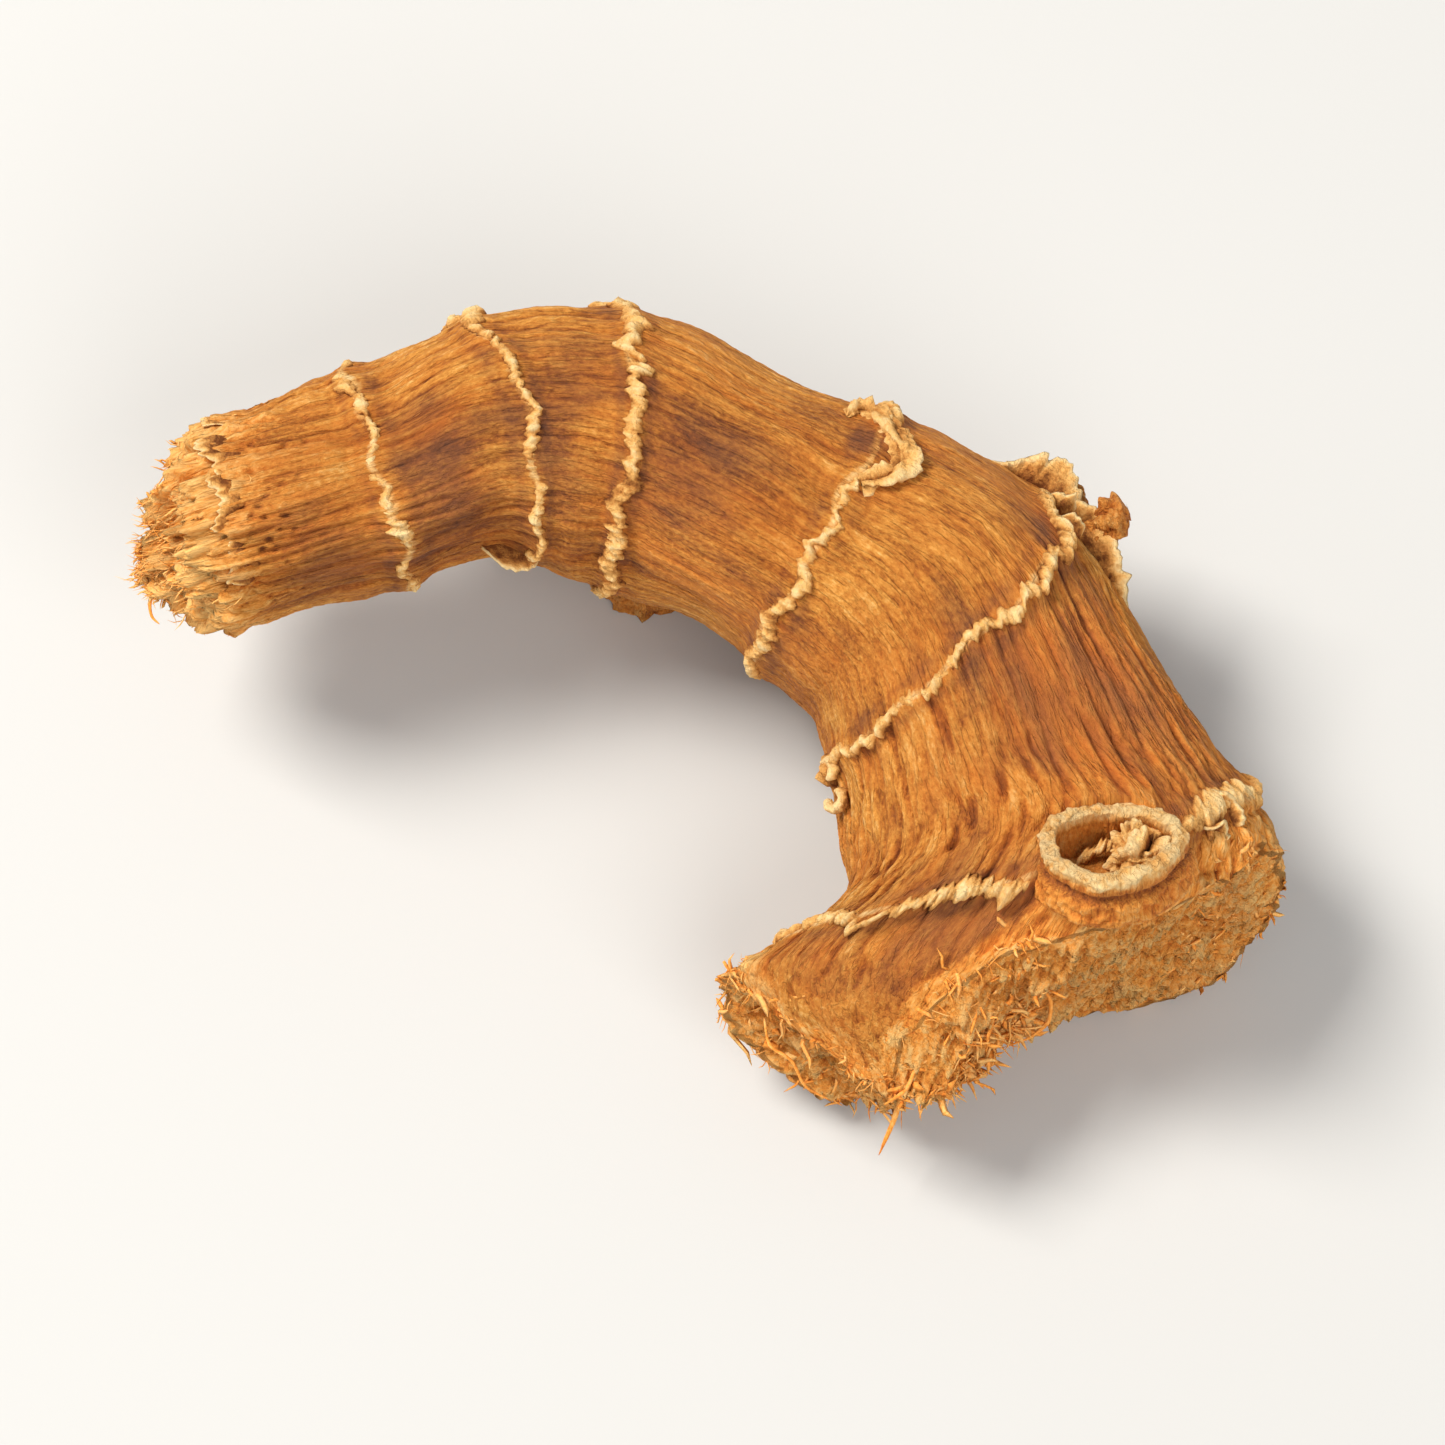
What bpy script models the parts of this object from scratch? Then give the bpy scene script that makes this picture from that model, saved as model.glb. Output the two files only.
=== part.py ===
"""Dried galangal root: one broken piece of a ringed, wrinkled rhizome, bent like a hook.

It grew as one body, so it is one solid: the bent stem with its leaf-scar rings and wrinkles, the cup
left by a shoot, the stumps of side shoots, the rootlet stubs and the torn, fibrous ends.
The root lies on a flat surface at Z = 0. X runs along the surface from the slender torn end to the
flared one, Y runs from the flared end to the bend, and the origin is the middle of the footprint.
The tables below are in millimetres, and the scene is in metres.
"""

import math
import random

import bmesh
import bpy
import numpy as np
from mathutils import Matrix, Vector

MM = 0.001

# Stations along the stem's axis, from the slender torn end to the flared one: the axis point x, y, z,
# the heading in degrees, then the half width, the height above the axis and the depth below it.
STATIONS = (
    (-23.6, 9.9, 10.6, 17, 4.8, 4.6, 4.6),
    (-15.3, 12.4, 10.5, 19, 4.7, 4.7, 4.7),
    (-10.3, 14.4, 10.2, 11, 5.4, 5.3, 5.3),
    (-4.7, 14.4, 9.8, -11, 6.1, 5.9, 5.7),
    (0.2, 12.3, 9.5, -26, 5.8, 5.8, 5.8),
    (4.7, 9.8, 9.2, -30, 6.2, 6.0, 6.0),
    (8.1, 7.7, 8.8, -38, 6.8, 6.3, 6.1),
    (10.5, 5.4, 8.4, -54, 7.4, 6.5, 6.2),
    (12.4, 1.6, 7.7, -69, 7.8, 6.6, 6.2),
    (13.7, -1.7, 7.2, -76, 8.4, 6.6, 6.2),
    (15.1, -5.0, 6.6, -80, 9.8, 6.6, 6.0),
    (14.2, -7.6, 6.0, -85, 11.3, 6.2, 5.5),
    (12.6, -9.8, 5.5, -88, 12.0, 5.5, 5.0),
    (10.9, -12.3, 4.8, -90, 9.6, 4.4, 4.4),
    (9.6, -14.6, 4.1, -92, 5.6, 3.4, 3.7),
    (9.0, -16.6, 3.6, -92, 2.6, 2.2, 2.8),
)
SQUARENESS = 2.25
FOOTPRINT_CENTRE = (-0.14, 2.06)

# Leaf-scar rings: the distance of each along the axis, how far its upper side and its outer side lean
# along the axis, and the phase of its zigzag.
RINGS = (
    (8.7, -0.3, 0.2, 0.4),
    (14.1, 1.4, -1.4, 1.9),
    (19.9, 0.8, -1.4, 3.1),
    (30.1, 1.0, -0.3, 4.4),
    (38.2, 2.1, -2.9, 5.2),
    (49.2, 2.4, -2.4, 0.9),
)
RING_HEIGHT = 0.55
RING_HALF_WIDTH = 0.5
ZIGZAG = 0.38
ZIGZAG_REACH = 0.8

# The skin: columns round the stem, the spacing of its sections, and the wrinkles along it.
COLUMNS = 64
SECTION_SPACING = 1.3
RIB_HEIGHT = 0.21
FLARED_RIB_HEIGHT = 0.36
LUMP_HEIGHT = 0.2

# Swellings of the skin: where along the axis, at what angle, how high, and their reach each way.
# Angles go round the stem from its upper side towards the outer side of the bend.
SWELLINGS = (
    ("mound_under_shoot", 51.3, 14.0, 1.9, 2.8, 15.0),
    ("inner_heel", 54.6, 226.0, 2.6, 2.5, 15.0),
    ("outer_heel", 52.0, 146.0, 1.9, 2.4, 15.0),
    ("bend_heel", 40.5, 166.0, 2.5, 2.4, 19.0),
    ("scale_shoulder", 35.2, 84.0, 0.7, 1.3, 20.0),
)

# Torn ends: where the skin stops, as (degrees round the stem, distance along the axis) from the upper
# side outwards, how ragged that edge is, how far the torn flesh bulges past it, and the lobe that
# stands further out: its x, y, z, height and reach.
SLENDER_EDGE = ((0, 1.4), (60, 2.6), (100, 3.2), (150, 2.0), (200, 1.0), (270, 0.5), (320, 0.8), (360, 1.4))
FLARED_EDGE = (
    (0, 55.5), (30, 53.5), (60, 50.2), (90, 50.8), (120, 52.0), (150, 54.0), (180, 55.2), (200, 56.8),
    (215, 59.9), (235, 60.1), (255, 57.5), (270, 54.4), (290, 54.6), (305, 58.1), (320, 60.8),
    (335, 61.9), (345, 59.4), (355, 56.5), (360, 55.5),
)
EDGE_RAGGEDNESS = 0.35
SLENDER_BULGE = 3.4
SLENDER_LOBE = (-24.0, 9.5, 10.5, 0.6, 3.0)
FLARED_BULGE = 0.9
FLARED_LOBE = (10.6, -13.5, 4.4, 3.2, 3.6)
SLENDER_CAP_STEPS = (0.9, 0.72, 0.5, 0.26)
FLARED_CAP_STEPS = (0.94, 0.82, 0.66, 0.5, 0.34, 0.18)
TEAR_ROUGHNESS = 0.34

# The cup left by a shoot: its rim's centre, its axis, and the half sizes of rim and hollow.
CUP_CENTRE = (17.2, -6.5, 14.3)
CUP_AXIS = (0.0, 0.357, 0.932)
CUP_HALF_WIDTH = 3.3
CUP_HALF_LENGTH = 2.6
CUP_WALL = 0.7
CUP_DEPTH = 1.9
CUP_ROOT = 3.2
CUP_SIDES = 22

STUMP_FOOT = (-3.3, 12.8)
SURFACE_DEPTH = 4.0
SEED = 7


def knots():
    """The distance of each station along the axis."""
    points = np.array(STATIONS)[:, :3]
    return np.concatenate([[0.0], np.cumsum(np.linalg.norm(np.diff(points, axis=0), axis=1))])


KNOTS = knots()
LENGTH = KNOTS[-1]


def at(place):
    """Every station value at distances along the axis, on one smooth curve through the stations."""
    table = np.array(STATIONS)
    place = np.asarray(place, float)
    steps = np.diff(KNOTS)[:, None]
    rises = np.diff(table, axis=0) / steps
    inner = (steps[1:] * rises[:-1] + steps[:-1] * rises[1:]) / (steps[1:] + steps[:-1])
    slopes = np.vstack([rises[:1], inner, rises[-1:]])
    i = np.clip(np.searchsorted(KNOTS, place, side="right") - 1, 0, len(KNOTS) - 2)
    step = steps[i]
    t = ((place - KNOTS[i]) / step[..., 0])[..., None]
    start = (2 * t**3 - 3 * t**2 + 1) * table[i] + (t**3 - 2 * t**2 + t) * step * slopes[i]
    end = (3 * t**2 - 2 * t**3) * table[i + 1] + (t**3 - t**2) * step * slopes[i + 1]
    return start + end


def frame_at(place):
    """(centre, along, side) of the axis at distances along it. Side points out of the bend."""
    values = at(place)
    heading = np.radians(values[..., 3])
    flat = np.zeros_like(heading)
    along = np.stack([np.cos(heading), np.sin(heading), flat], axis=-1)
    side = np.stack([-np.sin(heading), np.cos(heading), flat], axis=-1)
    return values[..., :3], along, side


def leaning(place, angle):
    """Where a section crosses the stem at each angle: rings lean and zigzag, and the skin follows them."""
    ring_places = [ring[0] for ring in RINGS]
    upper = np.interp(place, ring_places, [ring[1] for ring in RINGS])
    outer = np.interp(place, ring_places, [ring[2] for ring in RINGS])
    shifted = place + upper * np.cos(angle) + outer * np.sin(angle)
    for middle, _, _, phase in RINGS:
        near = np.exp(-(((place - middle) / ZIGZAG_REACH) ** 2))
        wave = 0.5 * np.sin(5 * angle + phase) + 0.5 * np.sin(11 * angle + 2.3 * phase)
        shifted = shifted + ZIGZAG * near * wave
    return shifted


def edge(table, angle, draw):
    """Where the skin stops at each angle of a torn end, ragged by a little at each column."""
    degrees = np.degrees(angle)
    ragged = np.array([draw.uniform(-1, 1) for _ in angle]) * EDGE_RAGGEDNESS
    return np.interp(degrees, [row[0] for row in table], [row[1] for row in table]) + ragged


def lumps(place, angle):
    """Broad unevenness of the stem, as a height over its smooth section."""
    height = np.sin(0.52 * place + 0.7) * np.cos(2 * angle + 0.4)
    height = height + 0.8 * np.sin(0.31 * place + 3 * angle + 1.1)
    height = height + 0.6 * np.cos(0.83 * place - 2 * angle + 2.0)
    return LUMP_HEIGHT * height


def swellings(place, angle):
    """The mound under the shoot, the heels that the root lies on and the bend's shoulder."""
    height = 0.0
    for _, middle, degrees, rise, reach, spread in SWELLINGS:
        turn = (angle - math.radians(degrees) + math.pi) % (2 * math.pi) - math.pi
        height = height + rise * np.exp(-(((place - middle) / reach) ** 2) - (turn / math.radians(spread)) ** 2)
    return height


def outline(place, angle, relief):
    """(side, up) of the skin at a place and angle: a squarish oval with the relief standing on it."""
    values = at(place)
    wide = values[..., 4]
    tall = np.where(np.cos(angle) > 0, values[..., 5], values[..., 6])
    square = (np.abs(np.sin(angle)) ** SQUARENESS + np.abs(np.cos(angle)) ** SQUARENESS) ** (-1 / SQUARENESS)
    across, above = wide * square * np.sin(angle), tall * square * np.cos(angle)
    lean_side, lean_up = np.sin(angle) / wide, np.cos(angle) / tall
    lean = np.hypot(lean_side, lean_up)
    return across + relief * lean_side / lean, above + relief * lean_up / lean


def section_places():
    """Distances of the skin's sections: three across each ring, and even steps between the rings."""
    stops = [ring[0] for ring in RINGS]
    places = [stops[0] - RING_HALF_WIDTH, stops[-1], stops[-1] + RING_HALF_WIDTH]
    for first, last in zip(stops[:-1], stops[1:]):
        low, high = first + RING_HALF_WIDTH, last - RING_HALF_WIDTH
        count = max(1, round((high - low) / SECTION_SPACING))
        places += [first] + [low + (high - low) * n / count for n in range(count + 1)]
    return np.array(sorted(places))


def wrinkles(place, angle, draw):
    """Ribs along the stem, one for every second column, each with its own strength."""
    gains = np.array([draw.uniform(0.3, 1.0) for _ in range(COLUMNS)])
    phases = np.array([draw.uniform(0, 2 * math.pi) for _ in range(COLUMNS)])
    sign = np.where(np.arange(COLUMNS) % 2 == 0, 1.0, -1.0)
    height = np.interp(place, (KNOTS[6], KNOTS[9]), (RIB_HEIGHT, FLARED_RIB_HEIGHT))
    return height * sign * gains * (0.65 + 0.35 * np.sin(0.6 * place + phases))


def rings(place, angle):
    """The raised leaf scars, higher and lower round the stem."""
    height = 0.0
    for middle, _, _, phase in RINGS:
        crest = np.clip(1 - np.abs(place - middle) / RING_HALF_WIDTH, 0, 1)
        height = height + RING_HEIGHT * crest * (0.8 + 0.2 * np.sin(7 * angle + phase))
    return height


def cap_loops(ring, outward, steps, bulge, lobe, draw):
    """Loops of points that close a torn end, each nearer its middle, and the middle point itself."""
    middle = ring.mean(axis=0)

    def torn(points, share):
        apart = np.linalg.norm(points - np.array(lobe[:3]), axis=-1)
        rise = bulge * (1 - share**2) + lobe[3] * (1 - share**6) * np.exp(-((apart / lobe[4]) ** 2))
        return points + np.asarray(rise)[..., None] * outward

    loops = []
    for share in steps:
        rough = np.array([draw.uniform(-1, 1) for _ in ring]) * TEAR_ROUGHNESS * share
        loops.append(torn(middle + share * (ring - middle), share) + rough[:, None] * outward)
    return loops, torn(middle, 0.0)


def closed_mesh(name, loops, first, last):
    """A mesh through loops of points, closed by a point at each end, with its faces pointing out."""
    bm = bmesh.new()
    rows = [[bm.verts.new(Vector(p) * MM) for p in loop] for loop in loops]
    for low, high in zip(rows[:-1], rows[1:]):
        for n, vertex in enumerate(low):
            after = (n + 1) % len(low)
            bm.faces.new((vertex, low[after], high[after], high[n]))
    for row, point in ((rows[0], first), (rows[-1], last)):
        tip = bm.verts.new(Vector(point) * MM)
        for n, vertex in enumerate(row):
            bm.faces.new((vertex, row[(n + 1) % len(row)], tip))
    bmesh.ops.recalc_face_normals(bm, faces=bm.faces)
    mesh = bpy.data.meshes.new(name)
    bm.to_mesh(mesh)
    bm.free()
    made = bpy.data.objects.new(name, mesh)
    bpy.context.scene.collection.objects.link(made)
    return made


def skin(nominal, place, angle):
    """Points of the skin at places along the axis, with the relief of the section they belong to."""
    relief = lumps(place, angle) + swellings(place, angle) + rings(nominal, angle)
    relief = relief + wrinkles(nominal, angle, random.Random(SEED))
    centre, _, side = frame_at(place)
    across, above = outline(place, angle, relief)
    return centre + across[:, None] * side + above[:, None] * np.array((0.0, 0.0, 1.0))


def bent_stem(draw):
    """The stem: its wrinkled, ringed skin and its two torn ends."""
    angle = np.arange(COLUMNS) * 2 * math.pi / COLUMNS
    loops = [skin(nominal, leaning(nominal, angle), angle) for nominal in section_places()]
    first, last = section_places()[[0, -1]]
    slender_edge = edge(SLENDER_EDGE, angle, draw)
    flared_edge = edge(FLARED_EDGE, angle, draw)
    for share in (0.34, 0.67, 1.0):
        place = leaning(first, angle) * (1 - share) + slender_edge * share
        loops.insert(0, skin(first * (1 - share), place, angle))
    for share in (0.2, 0.4, 0.6, 0.8, 1.0):
        place = leaning(last, angle) * (1 - share) + flared_edge * share
        loops.append(skin(last + 6 * share, place, angle))
    slender_way = -frame_at(np.array([1.0]))[1][0]
    flared_way = frame_at(np.array([KNOTS[12]]))[1][0]
    slender, slender_tip = cap_loops(
        loops[0], slender_way, SLENDER_CAP_STEPS, SLENDER_BULGE, SLENDER_LOBE, draw
    )
    flared, flared_tip = cap_loops(
        loops[-1], flared_way, FLARED_CAP_STEPS, FLARED_BULGE, FLARED_LOBE, draw
    )
    return closed_mesh("rhizome", slender[::-1] + loops + flared, slender_tip, flared_tip)


def tapered(name, points, radii, sides=10, flatten=(1.0, 1.0), draw=None, roughness=0.0):
    """A stub along a line of points, round or oval, with its own radius at each point."""
    points = [Vector(p) for p in points]
    loops = []
    for n, (point, radius) in enumerate(zip(points, radii)):
        along = (points[min(n + 1, len(points) - 1)] - points[max(n - 1, 0)]).normalized()
        side = along.cross(Vector((0, 0, 1)))
        side = side.normalized() if side.length > 1e-3 else Vector((1, 0, 0))
        up = side.cross(along)
        loop = []
        for k in range(sides):
            turn = 2 * math.pi * k / sides
            rough = 1 + (draw.uniform(-roughness, roughness) if draw else 0.0)
            across = side * math.cos(turn) * flatten[0] + up * math.sin(turn) * flatten[1]
            loop.append(point + across * radius * rough)
        loops.append(loop)
    return closed_mesh(name, loops, points[0], points[-1])


def cup_solid(name, half_width, half_length, levels, unevenness):
    """An oval shape on the cup's axis. Levels are (height over the rim, share of the half sizes)."""
    axis = Vector(CUP_AXIS).normalized()
    across = Vector((1, 0, 0))
    length = axis.cross(across)
    loops = []
    for height, share in levels:
        loop = []
        for k in range(CUP_SIDES):
            turn = 2 * math.pi * k / CUP_SIDES
            wave = 1 + unevenness * (math.sin(3 * turn + 0.7) + 0.7 * math.sin(7 * turn + 2.0))
            dip = 2.4 * unevenness * math.cos(2 * turn + 0.5) if height > -1.0 else 0.0
            flat = across * half_width * math.cos(turn) + length * half_length * math.sin(turn)
            loop.append(Vector(CUP_CENTRE) + flat * share * wave + axis * (height + dip))
        loops.append(loop)
    ends = [sum(loops[n], Vector()) / CUP_SIDES for n in (0, -1)]
    return closed_mesh(name, loops, *ends)


def shoot_cup():
    """The stub of the shoot's sheath, flared where it leaves the stem."""
    levels = ((-CUP_ROOT, 1.18), (-1.7, 1.1), (-0.6, 1.02), (0.0, 0.98), (0.12, 0.9))
    return cup_solid("shoot_cup", CUP_HALF_WIDTH, CUP_HALF_LENGTH, levels, 0.035)


def shoot_hollow():
    """What the cup's hollow takes away."""
    levels = ((-CUP_DEPTH, 0.55), (-1.2, 0.85), (0.0, 1.0), (1.0, 1.05))
    wide, long = CUP_HALF_WIDTH - CUP_WALL, CUP_HALF_LENGTH - CUP_WALL
    return cup_solid("shoot_hollow", wide, long, levels, 0.02)


def stumps(draw):
    """What grew out of the stem and broke off: a side shoot, rootlets and bits of leaf scale."""
    x, y = STUMP_FOOT
    return [
        tapered("old_shoot", ((x + 0.7, y + 0.8, 7.0), (x + 0.4, y + 0.4, 3.4), (x + 0.1, y + 0.1, 1.2),
                              (x, y, -0.5)), (3.9, 3.3, 2.9, 2.7), 14, (1.0, 1.0), draw, 0.05),
        tapered("scale_knob", ((6.9, 11.4, 12.8), (7.3, 12.0, 14.4), (7.7, 12.3, 15.2)),
                (1.5, 1.3, 0.8), 9, (1.0, 1.0), draw, 0.12),
        tapered("peeled_scale", ((14.4, 10.8, 9.2), (15.2, 13.0, 9.2), (15.5, 14.2, 9.3)),
                (2.3, 1.9, 1.3), 12, (1.0, 0.45), draw, 0.12),
        tapered("scale_crumb", ((17.0, 10.4, 9.0), (18.3, 11.6, 9.2), (18.9, 12.2, 9.4)),
                (1.3, 1.1, 0.7), 8, (1.0, 1.0), draw, 0.14),
        tapered("rootlet_a", ((-11.6, 14.0, 6.4), (-12.0, 14.6, 4.4), (-12.5, 15.0, 3.0)),
                (0.9, 0.75, 0.6), 7),
        tapered("rootlet_b", ((5.0, 10.0, 5.0), (5.2, 10.6, 2.8), (5.5, 11.4, 1.6)), (1.0, 0.8, 0.6), 7),
        tapered("rootlet_c", ((16.0, 3.0, 5.0), (19.2, 3.6, 3.2), (20.4, 4.0, 2.2)), (1.0, 0.8, 0.6), 7),
    ]


def fibres(draw):
    """Stiff torn fibres round the edges of the two torn ends: three-sided, short and tapered."""
    made = []
    ends = (
        ("slender_fibre", SLENDER_EDGE, -1.0, 22, 0.9),
        ("flared_fibre", FLARED_EDGE, 1.0, 36, 1.1),
    )
    for name, table, sense, count, reach in ends:
        turns = np.array([2 * math.pi * (n + draw.uniform(0, 0.8)) / count for n in range(count)])
        places = edge(table, turns, draw)
        centre, along, side = frame_at(places)
        across, above = outline(places, turns, 0.0)
        for n in range(count):
            rim = Vector(side[n] * across[n]) + Vector((0, 0, above[n]))
            outward = Vector(along[n]) * sense
            root = Vector(centre[n]) + rim * draw.uniform(0.8, 0.93) - outward * 0.7
            lean = outward + rim.normalized() * draw.uniform(-0.1, 0.6)
            lean += Vector([draw.uniform(-0.3, 0.3) for _ in range(3)])
            knee = root + lean.normalized() * (0.7 + reach * draw.uniform(0.5, 0.9))
            bent = lean.normalized() + Vector([draw.uniform(-0.6, 0.6) for _ in range(3)])
            tip = knee + bent.normalized() * reach * draw.uniform(0.5, 0.9)
            if min(knee.z, tip.z) > 0.4:
                made.append(tapered(f"{name}_{n}", (root, knee, tip), (0.55, 0.4, 0.16), 3))
    return made


def join(body, pieces, operation, name):
    """Joins pieces to the body, or cuts them from it, with one Boolean, and removes them."""
    group = bpy.data.collections.new(name)
    bpy.context.scene.collection.children.link(group)
    for piece in pieces:
        bpy.context.scene.collection.objects.unlink(piece)
        group.objects.link(piece)
    boolean = body.modifiers.new(name, "BOOLEAN")
    boolean.operand_type = "COLLECTION"
    boolean.collection = group
    boolean.operation = operation
    boolean.solver = "MANIFOLD"
    bpy.context.view_layer.update()
    evaluated = body.evaluated_get(bpy.context.evaluated_depsgraph_get())
    body.data = bpy.data.meshes.new_from_object(evaluated)
    body.modifiers.clear()
    for piece in pieces:
        bpy.data.objects.remove(piece)
    bpy.data.collections.remove(group)


def surface_block():
    """The space below the surface that the root lies on, which flattens the root where it rests."""
    mesh = bpy.data.meshes.new("below_surface")
    bm = bmesh.new()
    bmesh.ops.create_cube(bm, size=1.0)
    bmesh.ops.scale(bm, vec=Vector((80, 80, SURFACE_DEPTH)) * MM, verts=bm.verts)
    bmesh.ops.translate(bm, vec=Vector((0, 0, -SURFACE_DEPTH / 2)) * MM, verts=bm.verts)
    bm.to_mesh(mesh)
    bm.free()
    made = bpy.data.objects.new("below_surface", mesh)
    bpy.context.scene.collection.objects.link(made)
    return made


def dried_skin():
    """The root's material: dry, orange-brown and matt."""
    material = bpy.data.materials.new("dried_skin")
    material.use_nodes = True
    shader = material.node_tree.nodes["Principled BSDF"]
    shader.inputs["Base Color"].default_value = (0.42, 0.16, 0.04, 1.0)
    shader.inputs["Roughness"].default_value = 0.78
    shader.inputs["Metallic"].default_value = 0.0
    return material


def main():
    for old in list(bpy.data.objects):
        bpy.data.objects.remove(old)
    draw = random.Random(SEED)
    root = bent_stem(draw)
    join(root, [shoot_cup()] + stumps(draw) + fibres(draw), "UNION", "grown_on")
    join(root, [shoot_hollow(), surface_block()], "DIFFERENCE", "taken_away")
    join(root, [tapered("dry_bud", ((18.7, -6.6, 11.6), (18.6, -6.3, 12.9), (18.3, -6.1, 13.7)),
                        (1.0, 0.95, 0.5), 8, (1.0, 1.0), draw, 0.12)], "UNION", "dry_bud")
    root.data.transform(Matrix.Translation(Vector((-FOOTPRINT_CENTRE[0], -FOOTPRINT_CENTRE[1], 0)) * MM))
    root.data.materials.clear()
    root.data.materials.append(dried_skin())
    root.data.shade_smooth()
    root.data.set_sharp_from_angle(angle=math.radians(30))


main()
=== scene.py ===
"""A dried galangal root on a pale table in soft studio light.

The root is a bent stem with wrinkled bark, frilled leaf scars, the cup of a broken shoot with its
shrivelled bud, curled bits of leaf scale, rootlet stubs and two torn ends with their loose fibres.
Shapes are worked out in millimetres and stored in metres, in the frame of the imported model.
"""

import enum
import itertools
import logging
import math
from collections.abc import Callable
from dataclasses import dataclass, field

import bpy
import numpy as np
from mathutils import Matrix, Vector


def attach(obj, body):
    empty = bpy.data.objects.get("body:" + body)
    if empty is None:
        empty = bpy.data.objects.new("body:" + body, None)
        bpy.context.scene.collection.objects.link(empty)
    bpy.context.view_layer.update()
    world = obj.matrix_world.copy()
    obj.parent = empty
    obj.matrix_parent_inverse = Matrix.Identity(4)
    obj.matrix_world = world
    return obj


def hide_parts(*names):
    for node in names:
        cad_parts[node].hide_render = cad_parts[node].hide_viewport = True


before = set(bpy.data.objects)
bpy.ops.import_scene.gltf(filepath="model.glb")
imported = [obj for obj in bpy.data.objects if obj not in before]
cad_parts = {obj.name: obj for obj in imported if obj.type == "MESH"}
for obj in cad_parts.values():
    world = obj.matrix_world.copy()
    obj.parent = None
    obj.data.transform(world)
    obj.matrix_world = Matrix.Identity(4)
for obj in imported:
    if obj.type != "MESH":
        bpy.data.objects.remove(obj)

LOG = logging.getLogger("galangal")
MM = 0.001
FOOTPRINT = np.array((-0.14, 2.06, 0.0))
UP = np.array((0.0, 0.0, 1.0))
TABLE_GAP = 0.00002
RIDGE_MEAN = 0.25
Socket = bpy.types.NodeSocket
Triple = tuple[float, float, float]
Colour = tuple[float, float, float, float]


class Tissue(enum.Enum):
    """What a piece of the root is made of."""

    BARK = "dried_bark"
    CORK = "leaf_scar_cork"
    FLESH = "torn_flesh"


def scrambled(x: np.ndarray, y: np.ndarray, z: np.ndarray, seed: int) -> np.ndarray:
    """Gives each lattice point its own repeatable number.

    Args:
        x: Whole x of the points.
        y: Whole y of the points.
        z: Whole z of the points.
        seed: Which pattern.

    Returns:
        Whole numbers under 2**32.
    """
    code = (x * 374761393 + y * 668265263 + z * 1274126177 + seed * 974634777) & 0xFFFFFFFF
    code = ((code ^ (code >> 13)) * 1103515245) & 0xFFFFFFFF
    return code ^ (code >> 16)


def noise(points: np.ndarray, seed: int) -> np.ndarray:
    """Smooth noise with about one feature to each unit.

    Args:
        points: Where to read it, as rows of x, y, z.
        seed: Which pattern.

    Returns:
        Values of about -1 to 1.
    """
    cell = np.floor(points).astype(np.int64)
    part = points - cell
    fade = part**3 * (part * (part * 6 - 15) + 10)
    total = np.zeros(len(points))
    for corner in itertools.product((0, 1), repeat=3):
        offset = np.array(corner)
        code = scrambled(*(cell + offset).T, seed)
        slope = np.stack([((code >> shift) & 1023) / 511.5 - 1 for shift in (0, 10, 20)], axis=-1)
        weight = np.prod(np.where(offset, fade, 1 - fade), axis=-1)
        total += weight * np.einsum("ij,ij->i", slope, part - offset)
    return total * 1.7


def ease(value: np.ndarray | float, low: float, high: float) -> np.ndarray:
    """Goes smoothly from 0 at low to 1 at high."""
    share = np.clip((value - low) / (high - low), 0, 1)
    return share * share * (3 - 2 * share)


def grit(points: np.ndarray, *layers: tuple[float, float | Triple, int]) -> np.ndarray:
    """Layers of noise, added up.

    Args:
        points: Where to read them.
        layers: The height, the cell's size and the seed of each.

    Returns:
        Heights.
    """
    return sum(height * noise(points / cell, seed) for height, cell, seed in layers)


def ridges(points: np.ndarray, seed: int) -> np.ndarray:
    """Noise folded into sharp creases, about level with zero."""
    return np.abs(noise(points, seed)) - RIDGE_MEAN


def hump(away: np.ndarray | float, reach: float) -> np.ndarray:
    """A soft rise: 1 where away is 0, gone at about twice its reach."""
    return np.exp(-((away / reach) ** 2))


def turn_from(angle: np.ndarray, degrees: float) -> np.ndarray:
    """Angles measured from a number of degrees, within half a turn either way."""
    return (angle - math.radians(degrees) + math.pi) % (2 * math.pi) - math.pi


def around(count: int) -> np.ndarray:
    """Even angles round a whole turn."""
    return np.arange(count) * 2 * math.pi / count


def unit(vectors: np.ndarray) -> np.ndarray:
    """The vectors at length one."""
    return vectors / np.maximum(np.linalg.norm(vectors, axis=-1, keepdims=True), 1e-9)


def together(first: np.ndarray, second: np.ndarray) -> np.ndarray:
    """How far each vector runs along its partner, as a column."""
    return np.einsum("ij,ij->i", first, second)[:, None]


def hoops(path: np.ndarray, up: np.ndarray, tall: float, turn: np.ndarray) -> np.ndarray:
    """Directions out of a bent line.

    Args:
        path: The line's points.
        up: The direction that counts as up.
        tall: How tall its section is, for a width of one.
        turn: Angles round the line.

    Returns:
        Directions, as points of the line by angles by three.
    """
    way = unit(np.gradient(path, axis=0))
    side = unit(np.cross(way, up))
    above = np.cross(side, way)
    across, upward = np.cos(turn)[None, :, None], tall * np.sin(turn)[None, :, None]
    return across * side[:, None, :] + upward * above[:, None, :]


def grid_faces(rows: int, columns: int, start: int = 0) -> np.ndarray:
    """Squares of a tube of points.

    Args:
        rows: How many rings of points.
        columns: Points in each ring.
        start: Number of the first point.

    Returns:
        Four point numbers for each square.
    """
    low = np.arange((rows - 1) * columns).reshape(rows - 1, columns)
    after = np.roll(low, -1, axis=1)
    return np.stack([low, after, after + columns, low + columns], axis=-1).reshape(-1, 4) + start


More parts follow.
